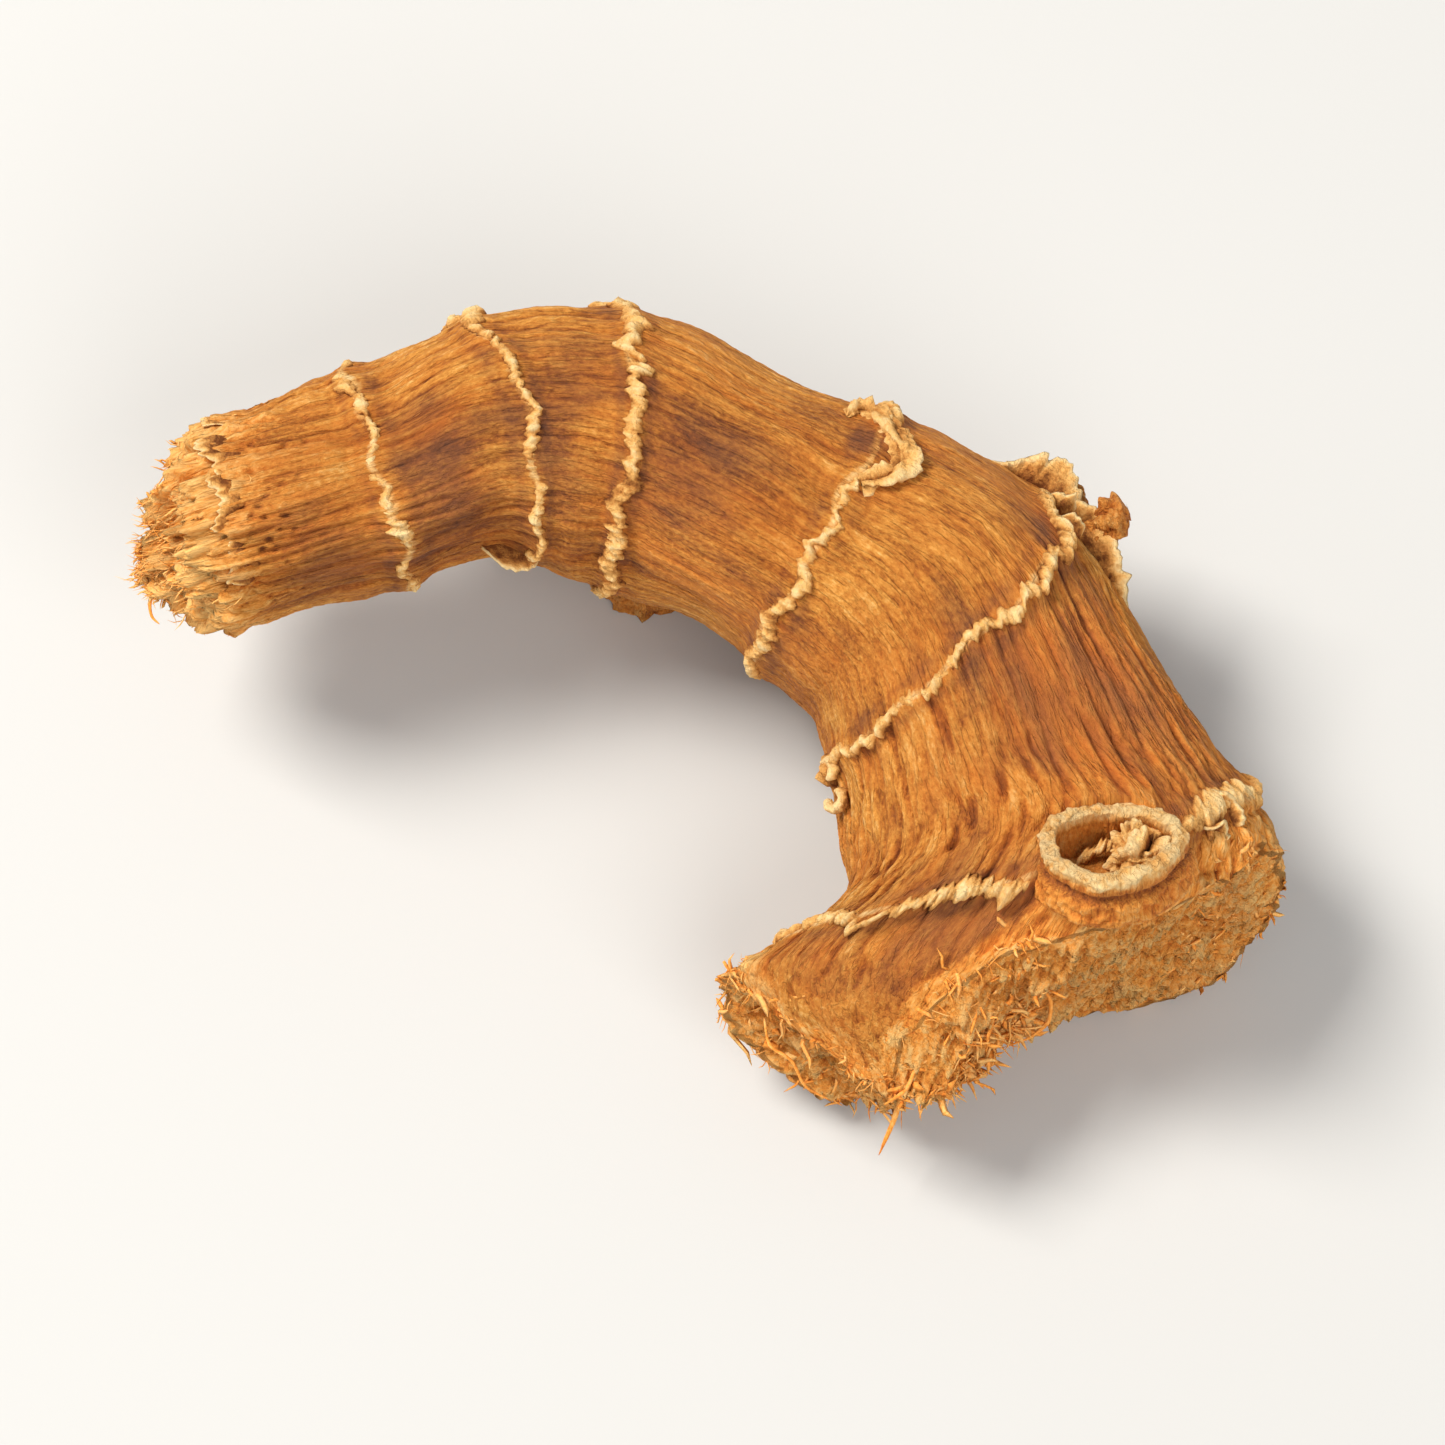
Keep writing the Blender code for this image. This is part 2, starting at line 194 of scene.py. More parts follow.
def fan_faces(ring: np.ndarray, tip: int, turned: bool) -> np.ndarray:
    """Triangles from a ring of points to one point.

    Args:
        ring: Numbers of the ring's points.
        tip: Number of the one point.
        turned: Whether the triangles run the other way round.

    Returns:
        Three point numbers for each triangle.
    """
    after = np.roll(ring, -1)
    pair = (after, ring) if turned else (ring, after)
    return np.stack([pair[0], pair[1], np.full(len(ring), tip)], axis=-1)


def swept(path: np.ndarray, ring: np.ndarray, start: int = 0) -> tuple[np.ndarray, list[np.ndarray]]:
    """A closed tube from rings of points, with a point at each end.

    Args:
        path: The middle of each ring.
        ring: Points of the rings, as rows by columns by three.
        start: Number of the first point.

    Returns:
        Points and faces.
    """
    rows, columns = ring.shape[:2]
    points = np.vstack([ring.reshape(-1, 3), path[0], path[-1]])
    tip = rows * columns
    faces = [
        grid_faces(rows, columns),
        fan_faces(np.arange(columns), tip, True),
        fan_faces(np.arange(tip - columns, tip), tip + 1, False),
    ]
    return points, [group + start for group in faces]


def turned_out(points: np.ndarray, faces: list[np.ndarray], start: int = 0) -> list[np.ndarray]:
    """Winds a closed body's faces so that they look outwards.

    Args:
        points: The body's points.
        faces: Its faces, in groups of one size.
        start: Number of its first point.

    Returns:
        The faces.
    """
    volume = 0.0
    for group in faces:
        corners = points[group - start]
        for k in range(1, group.shape[1] - 1):
            volume += np.einsum("ij,ij->", corners[:, 0], np.cross(corners[:, k], corners[:, k + 1]))
    return [group[:, ::-1] for group in faces] if volume < 0 else faces


def normals_of(points: np.ndarray, faces: list[np.ndarray]) -> np.ndarray:
    """The direction that the surface faces at each point.

    Args:
        points: The mesh's points.
        faces: Its faces, in groups of one size.

    Returns:
        A unit vector for each point.
    """
    total = np.zeros_like(points)
    for group in faces:
        way = np.cross(points[group[:, 2]] - points[group[:, 0]], points[group[:, -1]] - points[group[:, 1]])
        if group.shape[1] == 3:
            way = np.cross(points[group[:, 1]] - points[group[:, 0]], points[group[:, 2]] - points[group[:, 0]])
        for corner in group.T:
            np.add.at(total, corner, way)
    return unit(total)


@dataclass
class Piece:
    """One mesh of the root with the marks that its finish reads."""

    name: str
    points: np.ndarray
    faces: list[np.ndarray]
    tissue: Tissue
    marks: dict[str, np.ndarray] = field(default_factory=dict)

    def place(self, finishes: dict[Tissue, bpy.types.Material]) -> bpy.types.Object:
        """Makes the object, dresses it and lets it ride with the root.

        Args:
            finishes: The material of each tissue.

        Returns:
            The new object.
        """
        points = (self.points - FOOTPRINT) * MM
        points[:, 2] = np.maximum(points[:, 2], TABLE_GAP)
        mesh = bpy.data.meshes.new(self.name)
        faces = [face for group in self.faces for face in group.tolist()]
        mesh.from_pydata(points.tolist(), [], faces)
        mesh.polygons.foreach_set("use_smooth", np.ones(len(faces), dtype=bool))
        for name, values in self.marks.items():
            if values.ndim == 2:
                mesh.attributes.new(name, "FLOAT_VECTOR", "POINT").data.foreach_set("vector", values.ravel())
            else:
                mesh.attributes.new(name, "FLOAT", "POINT").data.foreach_set("value", values)
        mesh.update()
        mesh.materials.append(finishes[self.tissue])
        made = bpy.data.objects.new(self.name, mesh)
        bpy.context.scene.collection.objects.link(made)
        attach(made, "root")
        LOG.info("%s: %d points, %d faces", self.name, len(points), len(faces))
        return made


@dataclass(frozen=True)
class Ring:
    """Where a leaf was joined: its distance along the axis, lean, zigzag and the size of its scar.

    Each entry of kinks holds degrees, spread, shift along the stem, extra width and extra height.
    """

    place: float
    upper: float
    outer: float
    phase: float
    width: float
    height: float
    beads: float = 0.5
    sway: float = 0.25
    kinks: tuple[tuple[float, ...], ...] = ()


@dataclass(frozen=True)
class Patch:
    """A stretch of bark that is darker, paler or redder than the rest."""

    place: float
    degrees: float
    reach: float
    spread: float
    tone: float
    rust: float = 0.0


RINGS = (
    Ring(8.7, -0.3, 0.2, 0.4, 0.25, 0.34, 0.6, 0.26, ((312, 9, 0.1, 0.15, 0.1), (40, 9, -0.2, 0.1, 0.1))),
    Ring(14.1, 1.4, -1.4, 1.9, 0.25, 0.42, 0.95, 0.24, ((48, 12, 0.0, 0.16, 0.0),)),
    Ring(19.9, 0.8, -1.4, 3.1, 0.38, 0.46, 0.55, 0.4, ((10, 8, 0.35, 0.12, 0.1), (38, 10, -0.2, 0.1, 0.1))),
    Ring(30.1, 1.0, -0.3, 4.4, 0.3, 0.5, 0.6, 0.42,
         ((27, 14, 0.2, -0.22, -0.62), (300, 6, 0.2, 0.12, 0.1))),
    Ring(38.2, 2.1, -2.9, 5.2, 0.28, 0.46, 0.55, 0.36,
         ((44, 9, 0.1, 0.24, 0.15), (24, 7, 0.2, 0.12, 0.1), (277, 5, 0.1, 0.22, 0.3))),
    Ring(49.2, 2.4, -2.4, 0.9, 0.36, 0.55, 0.7, 0.36,
         ((305, 5, -0.2, 0.1, 0.1), (322, 4, 0.4, 0.1, 0.1), (341, 6, 0.1, 0.26, 0.25),
          (354, 4, 0.3, 0.2, 0.3), (42, 9, 0.0, 0.34, -0.15))),
)
PATCHES = (
    Patch(3.2, -30, 3.0, 50, 0.0, 0.6),
    Patch(5.5, -75, 2.6, 30, -0.6, 0.2),
    Patch(11.4, -35, 2.2, 50, -1.2, 0.2),
    Patch(11.4, 52, 2.2, 40, 0.65, -0.3),
    Patch(16.8, -30, 2.2, 50, -0.65, -0.2),
    Patch(16.6, 55, 2.0, 40, 0.3, -0.3),
    Patch(24.6, -12, 3.0, 28, -1.0, -0.1),
    Patch(24.5, 42, 2.8, 26, 0.45, -0.1),
    Patch(24.5, -52, 3.4, 26, 0.2, 0.2),
    Patch(30.5, 30, 0.7, 7, -1.3, 0.5),
    Patch(34.0, 5, 2.4, 40, 0.25, -0.1),
    Patch(35.5, -50, 2.0, 30, 0.1, 0.3),
    Patch(44.0, 28, 4.5, 40, -0.6, 0.9),
    Patch(44.5, -5, 4.0, 30, -0.25, 0.3),
    Patch(44.5, -45, 4.0, 25, 0.05, 0.15),
    Patch(53.5, -14, 2.6, 17, -0.95, 0.15),
    Patch(53.0, -10, 2.8, 60, 0.05, 0.4),
)


@dataclass
class Stem:
    """The bent stem: its axis and its sections, in millimetres.

    A station holds x, y, z, the heading in degrees, half the width, the height above the axis and the depth
    below it. A swelling holds its place, degrees round the stem, rise, reach and spread in degrees. The edges
    give where the bark is torn, as degrees round the stem and a distance along the axis.
    """

    stations: tuple[tuple[float, ...], ...] = (
        (-23.6, 9.9, 10.6, 17, 4.8, 4.6, 4.6),
        (-15.3, 12.4, 10.5, 19, 4.7, 4.7, 4.7),
        (-10.3, 14.4, 10.2, 11, 5.4, 5.3, 5.3),
        (-4.7, 14.4, 9.8, -11, 6.1, 5.9, 5.7),
        (0.2, 12.3, 9.5, -26, 5.8, 5.8, 5.8),
        (4.7, 9.8, 9.2, -30, 6.2, 6.0, 6.0),
        (8.1, 7.7, 8.8, -38, 6.8, 6.3, 6.1),
        (10.5, 5.4, 8.4, -54, 7.4, 6.5, 6.2),
        (12.4, 1.6, 7.7, -69, 7.8, 6.6, 6.2),
        (13.7, -1.7, 7.2, -76, 8.4, 6.6, 6.2),
        (15.1, -5.0, 6.6, -80, 9.8, 6.6, 6.0),
        (14.2, -7.6, 6.0, -85, 11.3, 6.2, 5.5),
        (12.6, -9.8, 5.5, -88, 12.0, 5.5, 5.0),
        (10.9, -12.3, 4.8, -90, 9.6, 4.4, 4.4),
        (9.6, -14.6, 4.1, -92, 5.6, 3.4, 3.7),
        (9.0, -16.6, 3.6, -92, 2.6, 2.2, 2.8),
    )
    squareness: float = 2.25
    lump_height: float = 0.2
    zigzag: float = 0.38
    zigzag_reach: float = 0.8
    swellings: tuple[tuple[float, ...], ...] = (
        (51.3, 14.0, 1.9, 2.8, 15.0),
        (54.6, 226.0, 2.6, 2.5, 15.0),
        (52.0, 146.0, 1.9, 2.4, 15.0),
        (40.5, 166.0, 2.5, 2.4, 19.0),
        (35.2, 84.0, 0.7, 1.3, 20.0),
    )
    slender_edge: tuple[tuple[float, float], ...] = (
        (0, 1.4), (60, 2.6), (100, 3.2), (150, 2.0), (200, 1.0), (270, 0.5), (320, 0.8), (360, 1.4),
    )
    flared_edge: tuple[tuple[float, float], ...] = (
        (0, 55.5), (30, 53.5), (60, 50.2), (90, 50.8), (120, 52.0), (150, 54.0), (180, 55.2), (200, 56.8),
        (215, 59.9), (235, 60.1), (255, 57.5), (270, 54.4), (290, 54.6), (305, 58.1), (320, 60.8),
        (335, 61.9), (345, 59.4), (355, 56.5), (360, 55.5),
    )
    first: float = 8.2
    last: float = 49.7
    run_out: float = 6.0
    edge_turn: float = 7.0
    usual_width: float = 6.2

    def __post_init__(self) -> None:
        """Measures the axis."""
        self.table = np.array(self.stations)
        steps = np.linalg.norm(np.diff(self.table[:, :3], axis=0), axis=1)
        self.knots = np.concatenate([[0.0], np.cumsum(steps)])

    def at(self, place: np.ndarray) -> np.ndarray:
        """Every station value at distances along the axis, on one smooth curve.

        Args:
            place: Distances along the axis.

        Returns:
            Rows of x, y, z, heading in degrees, half width, height above and depth below.
        """
        steps = np.diff(self.knots)[:, None]
        rises = np.diff(self.table, axis=0) / steps
        inner = (steps[1:] * rises[:-1] + steps[:-1] * rises[1:]) / (steps[1:] + steps[:-1])
        slopes = np.vstack([rises[:1], inner, rises[-1:]])
        i = np.clip(np.searchsorted(self.knots, place, side="right") - 1, 0, len(self.knots) - 2)
        step = steps[i]
        t = ((place - self.knots[i]) / step[..., 0])[..., None]
        start = (2 * t**3 - 3 * t**2 + 1) * self.table[i] + (t**3 - 2 * t**2 + t) * step * slopes[i]
        end = (3 * t**2 - 2 * t**3) * self.table[i + 1] + (t**3 - t**2) * step * slopes[i + 1]
        return start + end

    def leaning(self, nominal: np.ndarray, angle: np.ndarray) -> np.ndarray:
        """Where a section crosses the stem at each angle, as the rings lean and zigzag.

        Args:
            nominal: The section's own distance along the axis.
            angle: Angles round the stem, from its upper side outwards.

        Returns:
            Distances along the axis.
        """
        places = [ring.place for ring in RINGS]
        upper = np.interp(nominal, places, [ring.upper for ring in RINGS])
        outer = np.interp(nominal, places, [ring.outer for ring in RINGS])
        shifted = nominal + upper * np.cos(angle) + outer * np.sin(angle)
        for ring in RINGS:
            wave = 0.5 * np.sin(5 * angle + ring.phase) + 0.5 * np.sin(11 * angle + 2.3 * ring.phase)
            shifted = shifted + self.zigzag * hump(nominal - ring.place, self.zigzag_reach) * wave
        return shifted

    def edge(self, table: tuple[tuple[float, float], ...], angle: np.ndarray) -> np.ndarray:
        """Where the bark stops at a torn end, ragged like the break.

        Args:
            table: Pairs of degrees and distance along the axis.
            angle: Angles round the stem.

        Returns:
            Distances along the axis.
        """
        degrees = np.degrees(angle) % 360
        smooth = np.interp(degrees, [row[0] for row in table], [row[1] for row in table])
        reach = self.edge_turn
        across = [np.cos(angle) * reach, np.sin(angle) * reach]
        turn = np.stack([*across, np.full_like(angle, smooth.mean())], axis=-1)
        ragged = grit(turn, (0.4, 1.3, 21), (0.22, 0.45, 22))
        if table is self.slender_edge:
            ragged += 0.5 * np.clip(noise(turn / 1.7, 23) * 3.5, -1, 1) + 0.2 * noise(turn / 0.3, 24)
        return smooth + ragged

    def place_of(self, nominal: np.ndarray, angle: np.ndarray) -> np.ndarray:
        """Distance along the axis of the skin's own rows, from one torn edge to the other.

        Args:
            nominal: Rows of the skin.
            angle: Angles round the stem.

        Returns:
            Distances along the axis.
        """
        place = self.leaning(np.clip(nominal, self.first, self.last), angle)
        back = np.clip(1 - nominal / self.first, 0, 1)
        place = place * (1 - back) + self.edge(self.slender_edge, angle) * back
        ahead = np.clip((nominal - self.last) / self.run_out, 0, 1)
        return place * (1 - ahead) + self.edge(self.flared_edge, angle) * ahead

    def section(self, place: np.ndarray, angle: np.ndarray) -> tuple[np.ndarray, ...]:
        """The smooth section at each place and angle.

        Args:
            place: Distances along the axis.
            angle: Angles round the stem.

        Returns:
            Centre, side direction, across, above, and the outward lean's two parts.
        """
        values = self.at(place)
        heading = np.radians(values[:, 3])
        side = np.stack([-np.sin(heading), np.cos(heading), np.zeros_like(heading)], axis=-1)
        wide = values[:, 4]
        tall = np.where(np.cos(angle) > 0, values[:, 5], values[:, 6])
        power = self.squareness
        square = (np.abs(np.sin(angle)) ** power + np.abs(np.cos(angle)) ** power) ** (-1 / power)
        lean_side, lean_up = np.sin(angle) / wide, np.cos(angle) / tall
        lean = np.hypot(lean_side, lean_up)
        across, above = wide * square * np.sin(angle), tall * square * np.cos(angle)
        return values[:, :3], side, across, above, lean_side / lean, lean_up / lean

    def broad_relief(self, place: np.ndarray, angle: np.ndarray) -> np.ndarray:
        """Lumps and swellings of the stem.

        Args:
            place: Distances along the axis.
            angle: Angles round the stem.

        Returns:
            Heights over the smooth section.
        """
        height = np.sin(0.52 * place + 0.7) * np.cos(2 * angle + 0.4)
        height = height + 0.8 * np.sin(0.31 * place + 3 * angle + 1.1)
        height = (height + 0.6 * np.cos(0.83 * place - 2 * angle + 2.0)) * self.lump_height
        for middle, degrees, rise, reach, spread in self.swellings:
            turn = turn_from(angle, degrees)
            height = height + rise * hump(place - middle, reach) * hump(turn, math.radians(spread))
        return height

    def surface(self, nominal: np.ndarray, angle: np.ndarray, height: np.ndarray | float = 0.0) -> np.ndarray:
        """Points over the unwrinkled skin.

        Args:
            nominal: Rows of the skin.
            angle: Angles round the stem.
            height: Distance out of the skin.

        Returns:
            The points.
        """
        place = self.place_of(nominal, angle)
        centre, side, across, above, lean_side, lean_up = self.section(place, angle)
        relief = self.broad_relief(place, angle) + height
        across, above = across + relief * lean_side, above + relief * lean_up
        return centre + across[:, None] * side + above[:, None] * UP

    def grain(self, place: np.ndarray, angle: np.ndarray) -> np.ndarray:
        """Coordinates that run with the stem's fibres.

        Args:
            place: Distances along the axis.
            angle: Angles round the stem.

        Returns:
            Two coordinates across the fibres and a third along them.
        """
        wide = self.at(place)[:, 4]
        reach = self.usual_width * np.sqrt(wide / self.usual_width)
        return np.stack([np.sin(angle) * reach, np.cos(angle) * reach, place], axis=-1)


STEM = Stem()


@dataclass
class ShootCup:
    """The hollow stub of a shoot's sheath, with a frilled rim round a shrivelled bud."""

    centre: Triple = (17.2, -6.5, 14.25)
    axis: Triple = (0.0, 0.357, 0.932)
    half_width: float = 3.25
    half_length: float = 2.42
    wall: float = 0.72
    depth: float = 2.0
    turn_degrees: float = 6.0
    root: float = 3.3
    lip: float = 0.1
    crease: float = 1.05
    wall_rows: int = 44
    rim_rows: int = 18
    floor_rows: int = 30
    columns: int = 240
    bud_place: Triple = (1.2, 0.05, -1.3)
    bud_size: Triple = (1.3, 1.45, 1.6)
    bud_rows: int = 110
    bud_columns: int = 160

    def __post_init__(self) -> None:
        """Sets the cup's own directions."""
        self.out = unit(np.array(self.axis))
        level = np.array((1.0, 0.0, 0.0))
        away = np.cross(self.out, level)
        turn = math.radians(self.turn_degrees)
        self.wide_way = math.cos(turn) * level + math.sin(turn) * away
        self.long_way = np.cross(self.out, self.wide_way)

    def local(self, points: np.ndarray) -> tuple[np.ndarray, np.ndarray]:
        """Where points are, seen from the cup.

        Args:
            points: The points.

        Returns:
            How far they are from its axis, as a share of its rim, and how high over the rim.
        """
        away = points - np.array(self.centre)
        share = np.hypot(away @ self.wide_way / self.half_width, away @ self.long_way / self.half_length)
        return share, away @ self.out

    def world(self, wide: float, long: float, high: float) -> np.ndarray:
        """A point given along the cup's own directions, from the middle of its rim."""
        return np.array(self.centre) + wide * self.wide_way + long * self.long_way + high * self.out

    def sunk(self, points: np.ndarray, share_limit: float = 0.9) -> np.ndarray:
        """Pushes the skin down where the cup's hollow is.

        Args:
            points: Points of the skin.
            share_limit: Share of the rim where the hollow ends.

        Returns:
            The points.
        """
        share, height = self.local(points)
        low = np.minimum(height, -self.depth - 0.6)
        mixed = low + (height - low) * ease(share, share_limit - 0.06, share_limit + 0.04)
        return points + (mixed - height)[:, None] * self.out

    def profile(self) -> list[tuple[float, ...]]:
        """Rows from the buried root up the outer wall, over the rim and down to the hollow's floor.

        Returns:
            Rows of height, outer share, inner share and how corky the tissue is.
        """
        rows = []
        for t in np.linspace(0, 1, self.wall_rows):
            high = -self.root + (self.root - self.lip) * t
            skirt = 0.16 * max(0.0, (0.1 - self.crease - high) / 2.35) ** 0.75
            skirt -= 0.4 * max(0.0, -2.3 - high) ** 2
            crease = 0.03 * hump(high + self.crease + 0.4, 0.2) - 0.08 * hump(high + self.crease, 0.17)
            rows.append((high, 1 + skirt + crease, 0.0, float(ease(high, -0.75, -0.2)) * 0.9))
        for turn in np.linspace(0, math.pi, self.rim_rows + 1)[1:-1]:
            rows.append((-self.lip + 0.24 * math.sin(turn), 1.0, (1 - math.cos(turn)) / 2, 1.0))
        for t in np.linspace(0, 1, self.floor_rows):
            pull = 1.0 + 0.12 * t + 1.9 * max(0.0, t - 0.55) ** 1.5
            cork = 0.8 * float(ease(1 - t * 4, 0.0, 1.0)) - float(ease(t, 0.1, 0.5))
            rows.append((-self.lip - self.depth * min(1.0, t / 0.75) ** 0.9, 1.0, pull, cork))
        return rows

    def piece(self) -> Piece:
        """The cup itself.

        Returns:
            Its wall, rim and hollow.
        """
        turn = around(self.columns)
        points, cork, skirt, dark = [], [], [], []
        uneven = 0.03 * (np.sin(3 * turn + 0.7) + 0.7 * np.sin(7 * turn + 2.0))
        for height, outer, inner, corky in self.profile():
            wide = self.half_width * outer * (1 + uneven) - self.wall * inner
            long = self.half_length * outer * (1 + uneven) - self.wall * inner
            dip = 0.08 * np.cos(2 * turn + 0.5) * (height > -2.2)
            flat = np.outer(np.maximum(wide, 0.02) * np.cos(turn), self.wide_way)
            flat += np.outer(np.maximum(long, 0.02) * np.sin(turn), self.long_way)
            points.append(np.array(self.centre) + flat + (height + dip)[:, None] * self.out)
            cork.append(np.full(self.columns, corky))
            skirt.append(np.full(self.columns, float(ease(-height, 1.1, 1.6)) * (inner == 0)))
            # dark: the crease under the wall, painted darker as shade.
            dark.append(np.full(self.columns, hump(height + self.crease, 0.16) * (inner == 0)))
        points, cork, skirt, dark = np.vstack(points), *map(np.concatenate, (cork, skirt, dark))
        away = points - np.array(self.centre)
        outwards = unit(away - (away @ self.out)[:, None] * self.out)
        upright = np.stack([away @ self.wide_way, away @ self.long_way, (away @ self.out) * 0.3], axis=-1)
        rim = np.clip(cork, 0, 1)
        hollow = np.clip(-cork, 0, 1)
        rough = (0.07 + 0.1 * hollow) * (1 - 0.85 * skirt) * noise(upright / 0.42, 31)
        rough += rim * grit(points, (0.12, 0.8, 32), (0.08, 0.3, 33)) + grit(points, (0.05, 0.2, 37))
        torn = 0.22 * ridges(points / 0.62, 36) + 0.2 * noise(points / 1.3, 38) + 0.1 * ridges(points / 0.3, 39)
        rough += skirt * torn
        lift = rim * grit(points, (0.16, 1.1, 34), (0.12, 0.4, 35))
        points = points + rough[:, None] * outwards + lift[:, None] * self.out
        rows = len(self.profile())
        tip = len(points)
        points = np.vstack([points, points[-self.columns:].mean(axis=0)])
        faces = [grid_faces(rows, self.columns)]
        faces.append(fan_faces(np.arange(tip - self.columns, tip), tip, False))
        cork = np.append(cork, cork[-1])
        rough, skirt, rim, dark = (np.append(values, 0) for values in (rough, skirt, rim, dark))
        marks = {
            "fold": np.clip(0.5 + 2.2 * rough + 0.3 * rim, 0, 1),
            "torn": np.clip(0.5 + 0.5 * skirt, 0, 1),
            "cork": np.clip(cork, 0, 1),
            # The crease is painted dark as shade through tone; the cream rim is paler.
            "tone": np.where(cork < 0, -0.4 * cork, 0.45 * rim - 0.35) - 1.1 * dark,
            "rust": np.where(cork < 0, 1.0, 0.9 - 0.5 * rim),
            "grain": np.vstack([upright * (1, 1, 3), np.zeros(3)]),
        }
        return Piece("shoot_cup", points, faces, Tissue.BARK, marks)

    def bud(self) -> Piece:
        """The shrivelled bud that leans against the hollow's right wall.

        Returns:
            The bud with its slot, painted dark as shade.
        """
        rows, columns = self.bud_rows, self.bud_columns
        tilt = np.linspace(0.02, 0.97, rows) * math.pi
        turn = around(columns)
        ball = np.stack([
            np.outer(np.sin(tilt), np.cos(turn)), np.outer(np.sin(tilt), np.sin(turn)),
            np.outer(np.cos(tilt), np.ones(columns)),
        ], axis=-1).reshape(-1, 3)
        local = ball * self.bud_size
        folds = ridges(local / (0.75, 1.0, 1.1) + 3.1, 81) - 0.05
        rough = 0.95 * folds + 0.4 * ridges(local / 0.42, 82) + 0.06 * noise(local / 0.2, 83)
        slot = hump(local[:, 0] - 0.42 - 0.15 * local[:, 1], 0.17) * np.exp(-((local[:, 1] / 0.62) ** 4))
        slot = slot * (local[:, 2] > 0)
        local = local + rough[:, None] * ball - slot[:, None] * UP
        points = (
            self.world(*self.bud_place) + local[:, :1] * self.wide_way
            + local[:, 1:2] * self.long_way + local[:, 2:] * self.out
        )
        ring = points.reshape(rows, columns, 3)
        points, faces = swept(ring.mean(axis=1), ring)
        # The slot is painted dark as shade, in both fold and tone.
        fold = np.clip(0.62 + 0.9 * rough - 1.1 * slot, 0, 1)
        marks = {
            "fold": np.append(fold, (0.5, 0.2)),
            "tone": np.append(0.15 - 1.6 * slot, (0, 0)),
            "rust": np.append(0.4 * fold, (0, 0)),
            "grain": points,
        }
        return Piece("shrivelled_bud", points, turned_out(points, faces), Tissue.CORK, marks)


CUP = ShootCup()


@dataclass(frozen=True)
class TornEnd:
    """One torn end of the root: which way it faces and how its middle stands out.

    Lobe and swell each hold a place, a rise and a reach. Clumps, crumbs, steps and teeth are the heights of
    its roughness, skin_share is how far the bark's colour runs on over it, and calming is how often the rim is
    smoothed towards the middle.
    """

    facing: Triple
    bulge: float
    lobe: tuple[float, ...]
    swell: tuple[float, ...]
    clumps: float
    crumbs: float
    steps: float
    teeth: float
    skin_share: float
    seed: int
    calming: int = 160

    def rows(
        self, rim: np.ndarray, count: int, along: Callable[[np.ndarray], np.ndarray] | None = None
    ) -> tuple[np.ndarray, dict[str, np.ndarray]]:
        """Rows of points that close the end, from its rim to its middle.

        Args:
            rim: The last row of the skin.
            count: How many rows.
            along: Gives the fibre coordinates at distances past the rim, where the bark's lines run on.

        Returns:
            The points and their marks.
        """
        outward = unit(np.array(self.facing))
        middle = rim.mean(axis=0)
        calm = rim.copy()
        for _ in range(0 if along else self.calming):
            calm = (np.roll(calm, 2, axis=0) + 2 * calm + np.roll(calm, -2, axis=0)) / 4
        places, folds, torn, grains = [], [], [], []
        for n in range(1, count + 1):
            share = (1 - n / (count + 0.4)) ** 0.9
            points = middle + share * (calm + share**7 * (rim - calm) - middle)
            inner = math.exp(-((share / 0.999) ** 40)) * (1 - share**6)
            rise = np.full(len(rim), self.bulge * (1 - share**2))
            for *place, high, reach in (self.lobe, self.swell):
                rise += high * inner * hump(np.linalg.norm(points - place, axis=-1), reach)
            across = points - (points @ outward)[:, None] * outward
            steps = np.clip(noise(across / 1.25, self.seed + 4) * 3.5, -1, 1)
            teeth = grit(across, (1.0, 0.5, self.seed + 5), (0.6, 0.22, self.seed + 6))
            clumps = noise(points / (1.7, 1.7, 1.2), self.seed)
            crumbs = ridges(points / 0.7, self.seed + 1) - 0.02
            small = ridges(points / 0.34, self.seed + 3) - 0.02
            fine = noise(points / 0.2, self.seed + 2)
            edge = 1 - share**14
            rough = edge * (self.clumps * clumps + self.crumbs * (crumbs + 0.8 * small) + 0.09 * fine)
            rough += (1 - share**16) * (self.steps * steps + self.teeth * teeth)
            fold = 0.5 + 0.2 * clumps + 0.7 * crumbs + 0.9 * small + 0.3 * fine + 0.3 * self.teeth * teeth
            grain = None
            if along is not None:
                grain = along(np.linalg.norm(points + rise[:, None] * outward - rim, axis=-1))
                lines, lined = BARK.wrinkles(np.zeros(len(rim)), grain)
                plain = float(ease(share, 0.15, 0.6))
                rough = rough + 1.2 * plain * lines
                fold = fold + 0.85 * plain * (lined + 0.15 - fold)
            aside = (1 - share**16) * share * self.teeth * (teeth + 0.8 * steps)
            places.append(points + (rise + rough)[:, None] * outward + aside[:, None] * unit(rim - middle))
            folds.append(np.clip(fold, 0, 1))
            grains.append(places[-1] if grain is None else grain)
            bare = 1 - self.skin_share
            past = 1 - share + 0.12 * noise(points / 0.9, self.seed + 7)
            torn.append(bare + self.skin_share * ease(past, 0.05, 0.4))
        cap, torn = np.vstack(places), np.concatenate(torn)
        marks = {
            "fold": np.concatenate(folds),
            "torn": torn,
            "cork": np.zeros(len(cap)),
            "tone": 0.4 * noise(cap / 2.2, 64) + 0.35 + self.skin_share * (0.1 + 0.28 * torn),
            "rust": 0.5 + 0.4 * noise(cap / 2.0, 65) - 0.4 * self.skin_share,
            "grain": np.vstack(grains),
        }
        return cap, marks


@dataclass(frozen=True)
class Length:
    """One length of bark between two leaf scars or a scar and a torn end."""

    name: str
    low: float
    high: float
    columns: int
    rows: int
    cap_rows: int = 0


